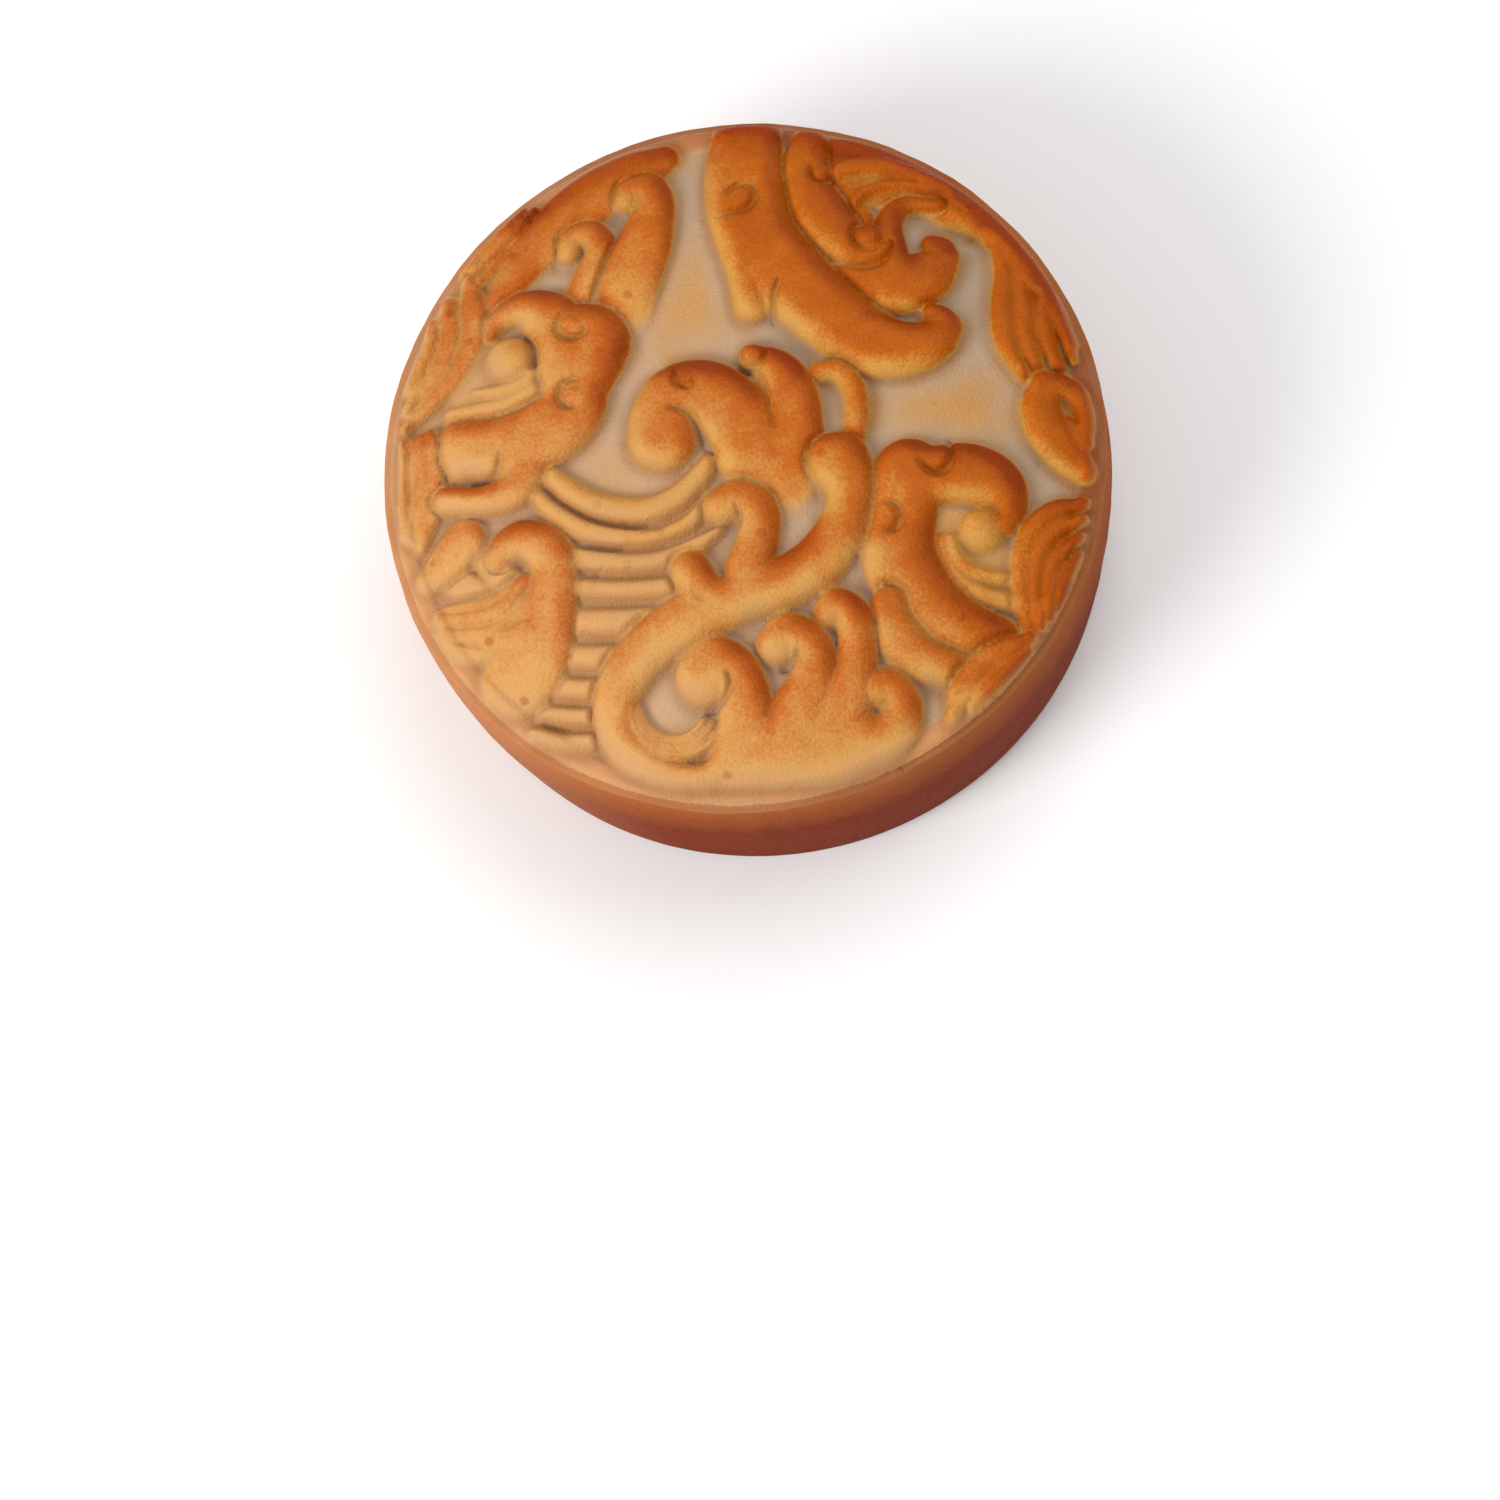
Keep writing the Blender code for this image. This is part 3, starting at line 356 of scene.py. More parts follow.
            spine((-3, -24.5, 3.1), (-1.4, -23.4, 3), (0.6, -25, 2.8), (1.2, -28.2, 2.9),
                  (1, -31.4, 3)),
            spine((4.5, -21.3, 2.3), (5.6, -20.4, 2.4), (7.6, -21.6, 2.5), (8.1, -24.6, 2.5),
                  (6.8, -28.2, 3.4)),
            spine((9.7, -18, 1.8), (10.6, -17.4, 1.9), (12.1, -18.7, 2.1), (12.5, -21.6, 2.1),
                  (12, -25, 2.4), (10.8, -28.4, 3.2)),
            spine((14.7, -25.7, 1.8), (15.6, -25.2, 1.9), (16.9, -26.6, 2), (16.7, -28.7, 2.2),
                  (15.2, -30.2, 2.5), (13, -30.7, 2.9), (9.8, -31, 3.8), (5.8, -31.4, 3.8),
                  (1.6, -32.1, 3.3), (-1.5, -33.6, 1.8))]),
        *[("low pocket rim", "rise", 1.0 + 0.4 * i, 0.6, 0.5, [
            arc(0.3 * i - 6.1, -27 - 0.1 * i, 3.5 + 0.75 * i, 190, 330, 0.55, 0.45)])
          for i in range(3)],
        ("small balls", "rise", 2.4, 1.0, 1.0, [
            ball(1.3, 8.9, 1.3), ball(-5.3, 6.6, 0.9), ball(8, 30.4, 1), ball(13.1, 22.6, 1.5),
            ball(-17.3, 12.9, 1.3), ball(-16.9, 5.1, 1.2)]),
        ("creases", "cut", 0.9, 0.4, 1.0, [
            spine((-6.8, 3.3, 0.3), (-4.9, 2.5, 0.5), (-3.7, 0.5, 0.5), (-2.3, -1.6, 0.3)),
            spine((-1.7, 27.6, 0.2), (-0.5, 28.7, 0.3), (0.8, 28.2, 0.4), (1.1, 26.8, 0.5),
                  (0.4, 25.6, 0.5), (-1.1, 25.2, 0.3), (-2.9, 24.8, 0.2)),
            spine((4.2, 17, 0.2), (3.6, 15.2, 0.4), (3.5, 13, 0.3)),
            spine((21.4, -0.2, 0.3), (21.9, -1.6, 0.4), (21.5, -3.1, 0.5), (20.5, -3.8, 0.5),
                  (19.4, -3.4, 0.4), (18.6, -2.5, 0.2)),
            arc(15.2, -8.6, 1.6, 80, -80, 0.5, 0.2),
            arc(-17.3, 12.9, 1.65, 135, 340, 0.45, 0.2),
            arc(-16.9, 5.1, 1.55, 80, 280, 0.45, 0.2),
            arc(13.1, 22.6, 1.8, 130, 290, 0.35, 0.2),
            arc(8, 30.4, 1.3, 150, 330, 0.3, 0.2),
            arc(-5.3, 6.6, 1.2, 150, 330, 0.35, 0.2),
            arc(1.3, 8.9, 1.55, 220, 385, 0.35, 0.2),
            spine((-24.4, -0.7, 0.2), (-24.6, -2.3, 0.35), (-25.5, -3.3, 0.35),
                  (-27.6, -3.7, 0.3)),
            spine((-22.4, 12.2, 0.3), (-21.3, 10.6, 0.5), (-21.4, 8.8, 0.4)),
            spine((-2.7, -28, 0.2), (-1.1, -27.3, 0.35), (-0.2, -25.7, 0.35),
                  (-0.4, -24.3, 0.2)),
            spine((4.8, -23.8, 0.2), (6.2, -23.2, 0.35), (6.7, -22, 0.2)),
            spine((0.2, -9.6, 0.2), (0.6, -8.6, 0.35), (0.3, -7.4, 0.2)),
            spine((2, 6.8, 0.3), (3, 4.8, 0.4), (3.7, 2.4, 0.3), (4.2, 0.4, 0.1)),
            spine((33, 5.2, 0.3), (33.6, 4.2, 0.6), (34.3, 3, 0.3))]),
        ("shallow marks", "cut", 0.4, 0.4, 1.0, [
            spine((-3.8, -16.4, 0.4), (-2.9, -17, 0.4)),
            spine((-19.8, -18.1, 0.2), (-21.9, -18.3, 0.3), (-24, -19, 0.3)),
            spine((-22.5, -13.6, 0.2), (-23.6, -15.4, 0.3), (-26, -16.6, 0.3),
                  (-30, -16.5, 0.2)),
            spine((-21.3, -15, 0.2), (-22.8, -17.2, 0.3), (-25.6, -18.4, 0.3),
                  (-29.5, -18.2, 0.2)),
            spine((-26, -20.6, 0.3), (-29, -19.8, 0.2))]),
    ]


# How forms rise and meet, lengths in mm: the relief fades out over RELIEF_FADE at the rim, a
# form on top presses a crease round itself, and OUTSIDE is a depth far from every stroke
RELIEF_FADE = 1.6
CREASE_REACH = 0.4
CREASE_DEPTH = 0.6
OVERLAP_SLOPE = 2.5
DOME_POWER = 3.0
EDGE_POWER = 0.55
OUTSIDE = 1000.0


def rounded(share):
    """Height of a rounded edge, from 0 at its foot to 1."""
    return (1 - (1 - np.clip(share, 0, 1)) ** 2) ** EDGE_POWER


def stroke_cover(x, y, strokes, edge):
    """How deep each point lies inside the strokes, and the share of the height it gets."""
    depth = np.full(x.shape, -OUTSIDE)
    share = np.zeros(x.shape)
    for line in strokes:
        reach = line[:, 2].max() + CREASE_REACH
        near = ((x > line[:, 0].min() - reach) & (x < line[:, 0].max() + reach)
                & (y > line[:, 1].min() - reach) & (y < line[:, 1].max() + reach))
        px, py = x[near], y[near]
        for a, b in zip(line, line[1:]):
            way = b - a
            span = way[0] ** 2 + way[1] ** 2
            t = np.clip(((px - a[0]) * way[0] + (py - a[1]) * way[1]) / span, 0, 1)
            half = a[2] + way[2] * t
            inside = half - np.hypot(px - a[0] - way[0] * t, py - a[1] - way[1] * t)
            rise = (a[3] + way[3] * t) * rounded(inside / np.minimum(edge, half))
            depth[near] = np.maximum(depth[near], inside)
            share[near] = np.maximum(share[near], rise)
    return depth, share


def relief_height(x, y):
    """Height of the moulded waves above the ground of the face in mm, and their browning."""
    height, browning = np.zeros(x.shape), np.zeros(x.shape)
    for _, meeting, top, edge, bake, strokes in relief_forms():
        depth, share = stroke_cover(x, y, strokes, edge)
        if meeting == "cut":
            height = height - top * share
            continue
        form = top * share
        below = height
        if meeting == "over":
            crease = np.clip(1 + depth / CREASE_REACH, 0, 1) ** 2
            below = height * (1 - CREASE_DEPTH * crease) - OVERLAP_SLOPE * np.maximum(depth, 0)
        height = np.maximum(form, below)
        browning = np.where(form >= below, bake * (depth > 0), browning)
    return height, browning


def face_ground(radius, s):
    """Height of the domed ground, the valley at its foot and the ring round it, mm."""
    valley = (s.ring_height - s.valley_depth) / MM
    rim = s.valley_radius / MM
    dome = valley + (s.face_height / MM - valley) * (1 - (radius / rim) ** DOME_POWER)
    inner = rounded((radius - rim) * MM / (s.ring_inner - s.valley_radius))
    outer = 1 - rounded((s.ring_outer - radius * MM) / s.ring_edge)
    ring = valley + (s.valley_depth * inner - s.ring_edge * outer) / MM
    return np.where(radius < rim, dome, ring)


# Down the side: how far the lip stands out from it, mm, and the degrees and rings drawn
LIP_STEP = 0.1
LIP_ANGLES = (75, 50, 25, 0, -25, -50)
CORNER_ANGLES = (30, 60, 90)
SIDE_RINGS = 9


def side_profile(s):
    """Radius and height down the side in mm, from the groove under the ring to the base."""
    lip, lip_z, size = s.lip_radius / MM, s.lip_height / MM, s.lip_size / MM
    widest, middle, base = s.widest_radius / MM, s.widest_height / MM, s.base_radius / MM
    corner = s.corner / MM
    profile = [(s.groove_radius / MM, (s.ring_height - 2 * s.ring_edge) / MM)]
    for angle in LIP_ANGLES:
        turn = math.radians(angle)
        profile.append((lip - size * (1 - math.cos(turn)), lip_z + size * math.sin(turn)))
    start = lip_z - 2 * size
    for i in range(SIDE_RINGS + 1):
        z = start + (corner - start) * i / SIDE_RINGS
        away = z - middle
        span = start - middle if away > 0 else middle - corner
        edge = lip - LIP_STEP if away > 0 else base + corner
        profile.append((widest - (widest - edge) * (away / span) ** 2, z))
    for angle in CORNER_ANGLES:
        turn = math.radians(angle)
        profile.append((base + corner * math.cos(turn), corner * (1 - math.sin(turn))))
    return profile


# The cake's mesh

# Squares across the face, rounds and share of its softening, degrees from which an edge stays
# sharp, and how soon the side's own colour begins below the ring
FACE_SEGMENTS = 272
SOFTENING = 2
SOFTENING_SHARE = 0.5
SHARP_ANGLE = 60
SIDE_GAIN = 2

# What the crust's material reads of the shape: how high the dough stands, how far its form
# browned, how sharply it is raised, how far it leans to the back of a wave, whether it lies in
# a pocket or a crease, and whether it is the ring or the side
MARKS = ("relief", "bake", "crown", "lean", "pocket", "crease", "ring", "side")

# How far the face is averaged for the marks, mm, or in points of the mesh for creases
BROAD_REACH = 1.2
WIDE_REACH = 2.6
LEAN_REACH = 0.9
CREASE_POINTS = 3

# Differences of height that count as a full mark, mm, how the two directions of a lean add up,
# and how sharply a pocket's mark rises
FULL_RELIEF = 0.9
FULL_LEAN = 1.1
FULL_CROWN = 0.7
FULL_CREASE = 0.45
BACK_SHARE = 0.9
RIGHT_SHARE = 0.45
POCKET_GAIN = 1.6

# Relief heights where a pocket's and the ring's colour end, and how far in the ring's starts, mm
POCKET_HEIGHT = 0.8
RING_CLEAR = 0.6
RING_WIDTH = 0.8

# Unevenness of the dough: how far it swells and how wide the swells are, mm, and over how
# many corner radii above the base they fade in
SWELLS = ((0.16, 7), (0.05, 1.6))
SWELL_FADE = 4


def disc_point(u, v):
    """Place of a square grid's point on a disc of radius 1, with even steps round its edge."""
    if u == 0 and v == 0:
        return 0.0, 0.0
    if abs(u) > abs(v):
        radius, angle = u, math.pi / 4 * v / u
    else:
        radius, angle = v, math.pi / 2 - math.pi / 4 * u / v
    return radius * math.cos(angle), radius * math.sin(angle)


def blurred(grid, reach):
    """The grid averaged over squares that reach so many points each way, twice."""
    for _ in range(2):
        for axis in (0, 1):
            pad = [(0, 0), (0, 0)]
            pad[axis] = (reach + 1, reach)
            total = np.cumsum(np.pad(grid, pad, mode="edge"), axis=axis)
            high = np.take(total, range(2 * reach + 1, total.shape[axis]), axis=axis)
            low = np.take(total, range(0, total.shape[axis] - 2 * reach - 1), axis=axis)
            grid = (high - low) / (2 * reach + 1)
    return grid


def face_marks(relief, browning, radius, s):
    """What the crust's material reads at each point of the face."""
    side = FACE_SEGMENTS + 1
    step = 2 * s.ring_outer / MM / FACE_SEGMENTS
    height = relief.reshape(side, side)
    broad, wide = (blurred(height, round(reach / step)) for reach in (BROAD_REACH, WIDE_REACH))
    # The lean to the back and right of a wave browns the crust, partly as painted shade on the
    # slopes turned from the key light
    shift = round(LEAN_REACH / step)
    back, right = (np.roll(broad, shift, axis=axis) - np.roll(broad, -shift, axis=axis)
                   for axis in (0, 1))
    slope = (BACK_SHARE * back + RIGHT_SHARE * right) / FULL_LEAN
    lean = 0.5 + 0.5 * np.clip(slope, -1, 1)
    crown = 0.5 + 0.5 * np.clip((height - broad) / FULL_CROWN, -1, 1)
    low = 1 - np.clip(height / POCKET_HEIGHT, 0, 1)
    pocket = np.clip(POCKET_GAIN * (wide - broad), 0, 1) * low
    # The crease mark, used to paint shade into the creases
    sunk = (blurred(height, CREASE_POINTS) - height) / FULL_CREASE
    crease = blurred(np.clip(sunk, 0, 1), 1)
    ring = rounded((radius - s.valley_radius / MM) / RING_WIDTH)
    bake = blurred(browning.reshape(side, side), 1)
    return {"relief": np.clip(relief / FULL_RELIEF, 0, 1), "bake": bake.ravel(),
            "crown": crown.ravel(), "lean": lean.ravel(), "pocket": pocket.ravel(),
            "crease": crease.ravel(), "ring": ring * (1 - np.clip(relief / RING_CLEAR, 0, 1)),
            "side": np.zeros_like(relief)}


def build_cake(s):
    """The whole cake as one closed mesh: the face, the side drawn down from it and the base."""
    bm = bmesh.new()
    bmesh.ops.create_grid(bm, x_segments=FACE_SEGMENTS, y_segments=FACE_SEGMENTS, size=1)
    rim = s.ring_outer / MM
    for vert in bm.verts:
        u, v = disc_point(vert.co.x, vert.co.y)
        vert.co.x, vert.co.y = rim * u, rim * v
    x = np.array([vert.co.x for vert in bm.verts])
    y = np.array([vert.co.y for vert in bm.verts])
    radius = np.hypot(x, y)
    height, browning = relief_height(x, y)
    relief = height * rounded((rim - radius) / RELIEF_FADE)
    marks = face_marks(relief, browning, radius, s)
    layers = {name: bm.verts.layers.float.new(name) for name in MARKS}
    for i, (vert, z) in enumerate(zip(bm.verts, face_ground(radius, s) + relief)):
        vert.co.z = z
        for name, layer in layers.items():
            vert[layer] = marks[name][i]
    inner = [vert for vert in bm.verts if not vert.is_boundary]
    for _ in range(SOFTENING):
        bmesh.ops.smooth_vert(bm, verts=inner, factor=SOFTENING_SHARE, use_axis_z=True)

    edges = [edge for edge in bm.edges if edge.is_boundary]
    step_back = Vector((s.lean_x, s.lean_y, 0)) / MM
    middle = Vector((0, 0, 0))
    for ring_radius, z in side_profile(s):
        grown = bmesh.ops.extrude_edge_only(bm, edges=edges)["geom"]
        edges = [item for item in grown if isinstance(item, bmesh.types.BMEdge)]
        share = min(1, (s.ring_height / MM - z) * MM / s.lean_depth)
        for vert in [item for item in grown if isinstance(item, bmesh.types.BMVert)]:
            away = Vector((vert.co.x, vert.co.y, 0)) - middle
            vert.co = away.normalized() * ring_radius - step_back * share
            vert.co.z = z
            vert[layers["side"]] = min(1, share * SIDE_GAIN)
            vert[layers["ring"]] = 1 - vert[layers["side"]]
        middle = -step_back * share
    bmesh.ops.contextual_create(bm, geom=edges)
    for vert in bm.verts:
        vert.co += step_back
        roughen(vert, s)
    bmesh.ops.triangulate(bm, faces=bm.faces)
    bmesh.ops.recalc_face_normals(bm, faces=bm.faces)
    bmesh.ops.scale(bm, vec=(MM, MM, MM), verts=bm.verts)
    mesh = bpy.data.meshes.new("baked_cake")
    bm.to_mesh(mesh)
    bm.free()
    return mesh


def roughen(vert, s):
    """Moves a point a little in or out, as dough swells unevenly, but not on the flat base."""
    free = min(1, vert.co.z * MM / (SWELL_FADE * s.corner))
    swell = sum(depth * noise.noise(vert.co / width) for depth, width in SWELLS)
    if vert.co.z * MM > s.ring_height - s.ring_edge:
        vert.co.z += free * swell
    else:
        vert.co += Vector((vert.co.x, vert.co.y, 0)).normalized() * (free * swell)


# Materials

# Darker towards the upper right, the side turned from the key light: partly uneven baking,
# partly painted shade. This counts to 1 at 28 mm from the middle that way
HOT_AND_SHADED_SIDE = (0.8 / (28 * MM), 0.6 / (28 * MM), 0)

# Uneven browning in patches, mottling and a grain: the size of each in mm and its detail
TEXTURES = {"patches": (11, 3.0), "mottle": (2.4, 5.0), "grain": (0.35, 2.0)}

# Browning, partly painted shade on the backs of the waves and towards the upper right: where the
# sum of each part starts, and the shares of the shape and the darkening towards the upper right
# on the waves, of the textures on the whole face and of two textures on the side
WAVE_START = -0.5
WAVE_SHARES = {"relief": 0.38, "lean": 0.92, "crown": 0.22, "heat": 0.12}
FACE_START = -0.48
FACE_SHARES = {"patches": 0.34, "mottle": 0.3, "grain": 0.32}
SIDE_START = -0.3
SIDE_SHARES = {"patches": 0.5, "mottle": 0.3}

# Blisters: spacing in mm, how far the edge and the top of each reach as shares of it, and the
# share of places without one
BLISTER_SPACING = 3.4
BLISTER_EDGE = 0.2
BLISTER_TOP = 0.08
BLISTERS_LEFT_OUT = 0.62

# Depth of the fine bump in mm, and each texture's share in it
BUMP_DEPTH = 0.13
BUMP_SHARES = {"grain": 1.3, "mottle": 0.6, "spot": 0.9}


def add_node(tree, kind, settings=None, inputs=None):
    """Adds a node with its settings, its inputs set to values or linked to other sockets."""
    node = tree.nodes.new(kind)
    for name, value in (settings or {}).items():
        setattr(node, name, value)
    for name, value in (inputs or {}).items():
        if isinstance(value, bpy.types.NodeSocket):
            tree.links.new(value, node.inputs[name])
        else:
            node.inputs[name].default_value = value
    return node


def set_steps(ramp, *steps):
    """Sets a colour ramp's steps, each a position and a colour."""
    while len(ramp.elements) < len(steps):
        ramp.elements.new(0.5)
    for element, (position, value) in zip(ramp.elements, steps):
        element.position = position
        element.color = (*value, 1)


def crust_material(c):
    """Baked wheat dough brushed with egg wash: a satin skin, deep orange where it stood out,
    pale and floury in the hollows, with small blisters and fine pores. Its colour also holds
    painted shade on the backs of the waves, towards the upper right, in the creases and low on
    the front of the side, and painted light towards the left and front left."""
    material = bpy.data.materials.new("baked egg-washed crust")
    material.use_nodes = True
    tree = material.node_tree
    shader = tree.nodes["Principled BSDF"]
    place = add_node(tree, "ShaderNodeTexCoord").outputs["Object"]
    split = add_node(tree, "ShaderNodeSeparateXYZ", {}, {0: place}).outputs
    mark = {name: add_node(tree, "ShaderNodeAttribute", {"attribute_name": name}).outputs["Fac"]
            for name in MARKS}
    mark["heat"] = add_node(tree, "ShaderNodeVectorMath", {"operation": "DOT_PRODUCT"},
                            {0: place, 1: HOT_AND_SHADED_SIDE}).outputs["Value"]
    texture = {name: add_node(tree, "ShaderNodeTexNoise", {}, {
        "Vector": place, "Scale": 1 / (size * MM), "Detail": detail,
        "Roughness": 0.6}).outputs["Fac"] for name, (size, detail) in TEXTURES.items()}

    # Browning: how high, how sharply raised and how far to the back of a wave the dough lies,
    # and how far to the upper right; the backs of the waves and the upper right darken partly as
    # painted shade
    brown = WAVE_START
    for name, share in WAVE_SHARES.items():
        brown = add_node(tree, "ShaderNodeMath", {"operation": "MULTIPLY_ADD"},
                         {0: mark[name], 1: share, 2: brown}).outputs[0]
    brown = add_node(tree, "ShaderNodeMath", {"operation": "MULTIPLY_ADD"},
                     {0: mark["bake"], 1: brown, 2: FACE_START}).outputs[0]
    for name, share in FACE_SHARES.items():
        brown = add_node(tree, "ShaderNodeMath", {"operation": "MULTIPLY_ADD"},
                         {0: texture[name], 1: share, 2: brown}).outputs[0]
    skin = add_node(tree, "ShaderNodeValToRGB", {}, {"Fac": brown})
    set_steps(skin.color_ramp, (0.0, c.ground), (0.2, c.gold), (0.45, c.orange),
              (0.85, c.brown))

    # The ring, darker towards the upper right: partly browning, partly painted shade
    rim = add_node(tree, "ShaderNodeMix", {"data_type": "RGBA"}, {
        0: mark["heat"], 6: (*c.ring, 1), 7: (*c.ring_hot_and_shaded, 1)}).outputs[2]

    # Towards the front left the crust gets a milky paler tone where it browned little: partly
    # pale dough, partly painted light on the side the key light comes from
    far = add_node(tree, "ShaderNodeMapRange", {}, {
        "Value": mark["heat"], "From Min": 0.7, "From Max": -1.0, "To Min": 0.0,
        "To Max": 0.5}).outputs[0]
    little = add_node(tree, "ShaderNodeMapRange", {}, {
        "Value": brown, "From Min": 0.15, "From Max": 0.6, "To Min": 1.0,
        "To Max": 0.1}).outputs[0]

    # Freckles: blisters of 0.5 to 1 mm, one in a few cells, browned on top
    cells = add_node(tree, "ShaderNodeTexVoronoi", {"feature": "F1"}, {
        "Vector": place, "Scale": 1 / (BLISTER_SPACING * MM), "Randomness": 1.0})
    spot = add_node(tree, "ShaderNodeMapRange", {"interpolation_type": "SMOOTHSTEP"}, {
        "Value": cells.outputs["Distance"], "From Min": BLISTER_EDGE,
        "From Max": BLISTER_TOP, "To Min": 0.0, "To Max": 1.0}).outputs[0]
    draw = add_node(tree, "ShaderNodeSeparateColor", {}, {0: cells.outputs["Color"]}).outputs[0]
    drawn = add_node(tree, "ShaderNodeMath", {"operation": "GREATER_THAN"},
                     {0: draw, 1: BLISTERS_LEFT_OUT}).outputs[0]
    spot = add_node(tree, "ShaderNodeMath", {"operation": "MULTIPLY"},
                    {0: spot, 1: drawn}).outputs[0]
    tint = add_node(tree, "ShaderNodeMath", {"operation": "MULTIPLY"},
                    {0: spot, 1: mark["bake"]}).outputs[0]

    # Laid over the skin in turn: hollows, ring, the milky paler tone that is partly painted
    # light, painted shade in the creases with some egg wash pooled there, and freckles, each
    # with what it follows, how strongly it shows and its colour
    crust = skin.outputs["Color"]
    for follows, strength, coat in (
            (mark["pocket"], 1.0, (*c.hollow, 1)), (mark["ring"], 0.8, rim),
            (far, little, (*c.bloom_and_light, 1)), (mark["crease"], 0.42, (*c.crease, 1)),
            (tint, 0.5, (*c.freckle, 1))):
        cover = add_node(tree, "ShaderNodeMath", {"operation": "MULTIPLY"},
                         {0: follows, 1: strength}).outputs[0]
        crust = add_node(tree, "ShaderNodeMix", {"data_type": "RGBA"}, {
            0: cover, 6: crust, 7: coat}).outputs[2]

    # The side darkens towards its foot, partly browning, and most in front, where the extra
    # darkening is painted shadow; it is paler at the left, partly painted light, and uneven
    foot = add_node(tree, "ShaderNodeMapRange", {"interpolation_type": "SMOOTHSTEP"}, {
        "Value": split["Z"], "From Min": 26 * MM, "From Max": 10 * MM, "To Min": 0.0,
        "To Max": 1.0}).outputs[0]
    front = add_node(tree, "ShaderNodeMapRange", {}, {
        "Value": split["Y"], "From Min": 12 * MM, "From Max": -30 * MM, "To Min": 0.45,
        "To Max": 1.0}).outputs[0]
    left = add_node(tree, "ShaderNodeMapRange", {"interpolation_type": "SMOOTHSTEP"}, {
        "Value": split["X"], "From Min": -6 * MM, "From Max": -38 * MM, "To Min": 0.0,
        "To Max": 0.7}).outputs[0]
    tan = add_node(tree, "ShaderNodeMath", {"operation": "MULTIPLY_ADD"},
                   {0: foot, 1: front, 2: SIDE_START}).outputs[0]
    for name, share in SIDE_SHARES.items():
        tan = add_node(tree, "ShaderNodeMath", {"operation": "MULTIPLY_ADD"},
                       {0: texture[name], 1: share, 2: tan}).outputs[0]
    wall = add_node(tree, "ShaderNodeValToRGB", {}, {"Fac": tan})
    set_steps(wall.color_ramp, (0.0, c.side_top), (0.85, c.side_foot))
    wall = add_node(tree, "ShaderNodeMix", {"data_type": "RGBA"}, {
        0: left, 6: wall.outputs["Color"], 7: (*c.side_pale, 1)}).outputs[2]
    crust = add_node(tree, "ShaderNodeMix", {"data_type": "RGBA"}, {
        0: mark["side"], 6: crust, 7: wall}).outputs[2]
    tree.links.new(crust, shader.inputs["Base Color"])

    # Egg wash: glossier in specks, duller down the side
    specks = add_node(tree, "ShaderNodeMapRange", {}, {
        "Value": texture["grain"], "From Min": 0.35, "From Max": 0.7, "To Min": 0.52,
        "To Max": 0.3}).outputs[0]
    gloss = add_node(tree, "ShaderNodeMath", {"operation": "MULTIPLY_ADD"},
                     {0: mark["side"], 1: 0.3, 2: specks}).outputs[0]
    tree.links.new(gloss, shader.inputs["Roughness"])
    for name, value in (("IOR", 1.45), ("Specular IOR Level", 0.1), ("Subsurface Weight", 0.1),
                        ("Subsurface Radius", (1.0, 0.4, 0.1)),
                        ("Subsurface Scale", 1.2 * MM)):
        shader.inputs[name].default_value = value

    # Fine pores, a grainy skin and raised blisters
    grit = 0.0
    for name, share in BUMP_SHARES.items():
        source = spot if name == "spot" else texture[name]
        grit = add_node(tree, "ShaderNodeMath", {"operation": "MULTIPLY_ADD"},
                        {0: source, 1: share, 2: grit}).outputs[0]
    bump = add_node(tree, "ShaderNodeBump", {}, {
        "Height": grit, "Distance": BUMP_DEPTH * MM, "Strength": 0.9})
    tree.links.new(bump.outputs["Normal"], shader.inputs["Normal"])
    return material


def floor_material(c):
    """Matt white board."""
    material = bpy.data.materials.new("matt white board")
    material.use_nodes = True
    shader = material.node_tree.nodes["Principled BSDF"]
    shader.inputs["Base Color"].default_value = (*c.floor, 1)
    shader.inputs["Roughness"].default_value = 0.9
    return material


# Operators

class MOONCAKE_OT_cake(bpy.types.Operator):
    """Build the mooncake with its crust, in place of the plain solid."""

    bl_idname = "mooncake.build_cake"
    bl_label = "Build the cake"

    def execute(self, context):
        cake = bpy.data.objects.new("baked_cake", build_cake(context.scene.mooncake_sizes))
        context.scene.collection.objects.link(cake)
        cake.data.materials.append(crust_material(context.scene.mooncake_colours))
        cake.data.shade_smooth()
        cake.data.set_sharp_from_angle(angle=math.radians(SHARP_ANGLE))
        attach(cake, "root")
        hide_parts("mooncake")
        return {"FINISHED"}


# Half the floor's length, the lights' places and sizes, all in m, and the height they are
# aimed at, mm; the camera's place, mm, turn, lens and sensor width, mm, and clipping, m
FLOOR_HALF = 1.5
LIGHTS = {"key": ((-0.42, -0.36, 0.42), 0.35), "fill": ((0.2, 0.28, 0.6), 0.6)}
AIM_HEIGHT = 20
CAMERA_PLACE = (41.85, -128.801, 393.376)
CAMERA_RIGHT = (0.99436, 0.02116, -0.10388)
CAMERA_UP = (0.00625, 0.96648, 0.25665)
CAMERA_BACK = (0.10583, -0.25586, 0.96090)
CAMERA_LENS = 90.9
CAMERA_SENSOR = 36
CAMERA_CLIP = (0.01, 10)


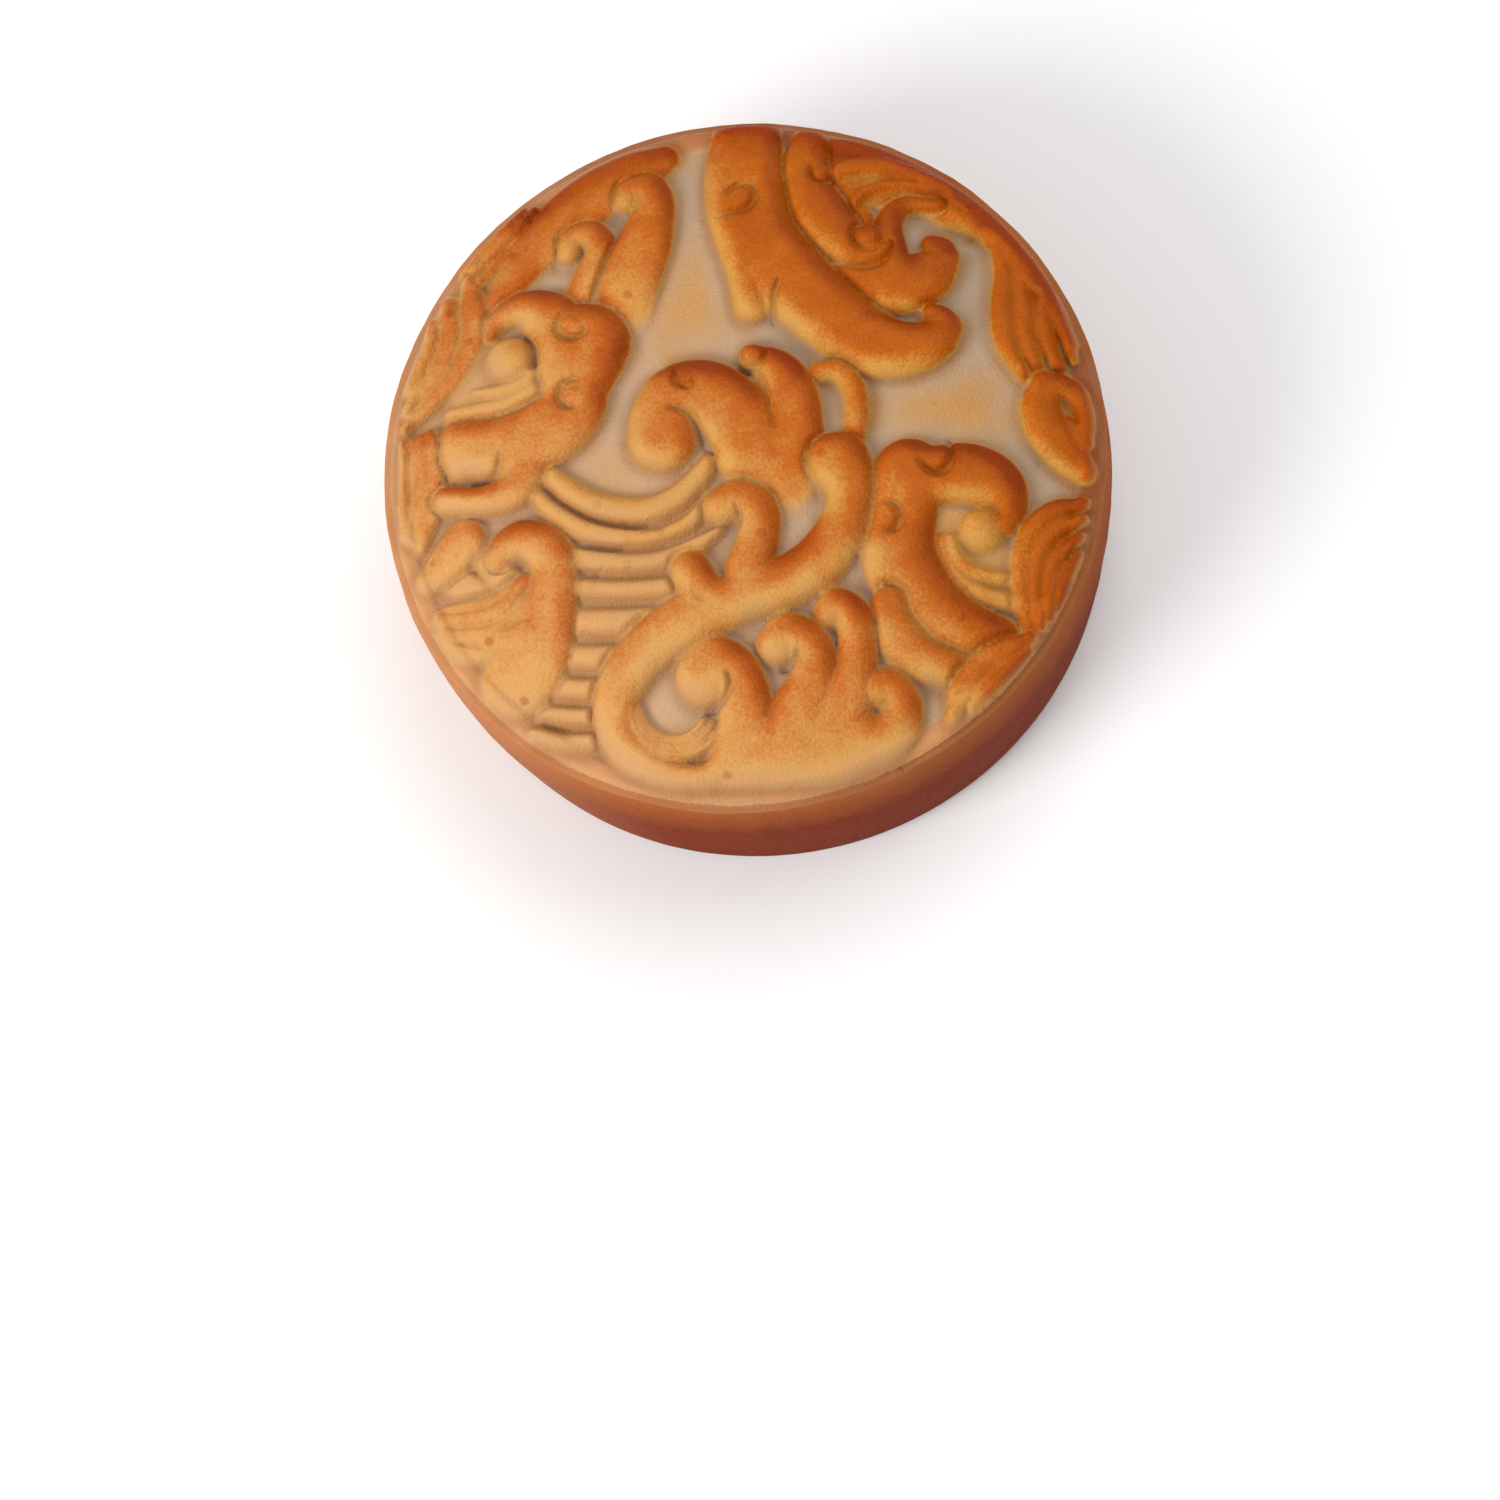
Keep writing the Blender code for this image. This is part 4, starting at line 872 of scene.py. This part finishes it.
class MOONCAKE_OT_studio(bpy.types.Operator):
    """Build the floor, the soft lights and the camera."""

    bl_idname = "mooncake.build_studio"
    bl_label = "Build the studio"

    def execute(self, context):
        scene, look = context.scene, context.scene.mooncake_studio
        bm = bmesh.new()
        bmesh.ops.create_grid(bm, x_segments=1, y_segments=1, size=FLOOR_HALF)
        mesh = bpy.data.meshes.new("floor")
        bm.to_mesh(mesh)
        bm.free()
        floor = bpy.data.objects.new("floor", mesh)
        scene.collection.objects.link(floor)
        mesh.materials.append(floor_material(look))

        aim = Vector((0, 0, AIM_HEIGHT * MM))
        for name, (place, size) in LIGHTS.items():
            light = bpy.data.lights.new(name, "AREA")
            light.shape, light.size, light.energy = "DISK", size, getattr(look, name)
            lamp = bpy.data.objects.new(name, light)
            lamp.location = place
            lamp.rotation_euler = (Vector(place) - aim).to_track_quat("Z", "Y").to_euler()
            scene.collection.objects.link(lamp)
        world = bpy.data.worlds.new("studio")
        world.use_nodes = True
        surround = world.node_tree.nodes["Background"]
        surround.inputs["Color"].default_value = (1, 1, 1, 1)
        surround.inputs["Strength"].default_value = look.sky
        scene.world = world
        scene.view_settings.view_transform = "Standard"

        lens = bpy.data.cameras.new("camera")
        lens.lens, lens.sensor_width = CAMERA_LENS, CAMERA_SENSOR
        lens.clip_start, lens.clip_end = CAMERA_CLIP
        camera = bpy.data.objects.new("camera", lens)
        turn = Matrix((CAMERA_RIGHT, CAMERA_UP, CAMERA_BACK)).transposed().to_4x4()
        sizes = scene.mooncake_sizes
        face_middle = Vector((sizes.lean_x, sizes.lean_y, 0))
        camera.matrix_world = Matrix.Translation(Vector(CAMERA_PLACE) * MM + face_middle) @ turn
        scene.collection.objects.link(camera)
        scene.camera = camera
        return {"FINISHED"}


class MOONCAKE_PT_panel(bpy.types.Panel):
    """Lists the steps and their sizes and colours."""

    bl_idname = "MOONCAKE_PT_panel"
    bl_label = "Mooncake"
    bl_space_type = "VIEW_3D"
    bl_region_type = "UI"
    bl_category = "Mooncake"

    def draw(self, context):
        scene = context.scene
        for operator, group in ((MOONCAKE_OT_cake, scene.mooncake_sizes),
                                (MOONCAKE_OT_studio, scene.mooncake_studio)):
            self.layout.operator(operator.bl_idname)
            for name in group.__annotations__:
                self.layout.prop(group, name)
        for name in scene.mooncake_colours.__annotations__:
            self.layout.prop(scene.mooncake_colours, name)


GROUPS = {"mooncake_sizes": CakeSizes, "mooncake_colours": CrustColours,
          "mooncake_studio": StudioLook}
CLASSES = (*GROUPS.values(), MOONCAKE_OT_cake, MOONCAKE_OT_studio, MOONCAKE_PT_panel)


def register():
    """Registers the classes and gives the scene their sizes and colours."""
    for cls in CLASSES:
        bpy.utils.register_class(cls)
    for name, group in GROUPS.items():
        setattr(bpy.types.Scene, name, bpy.props.PointerProperty(type=group))


def unregister():
    """Takes away what register added."""
    for name in GROUPS:
        delattr(bpy.types.Scene, name)
    for cls in reversed(CLASSES):
        bpy.utils.unregister_class(cls)


def main():
    """Builds the cake and its studio."""
    register()
    bpy.ops.mooncake.build_cake()
    bpy.ops.mooncake.build_studio()


if __name__ == "__main__":
    main()
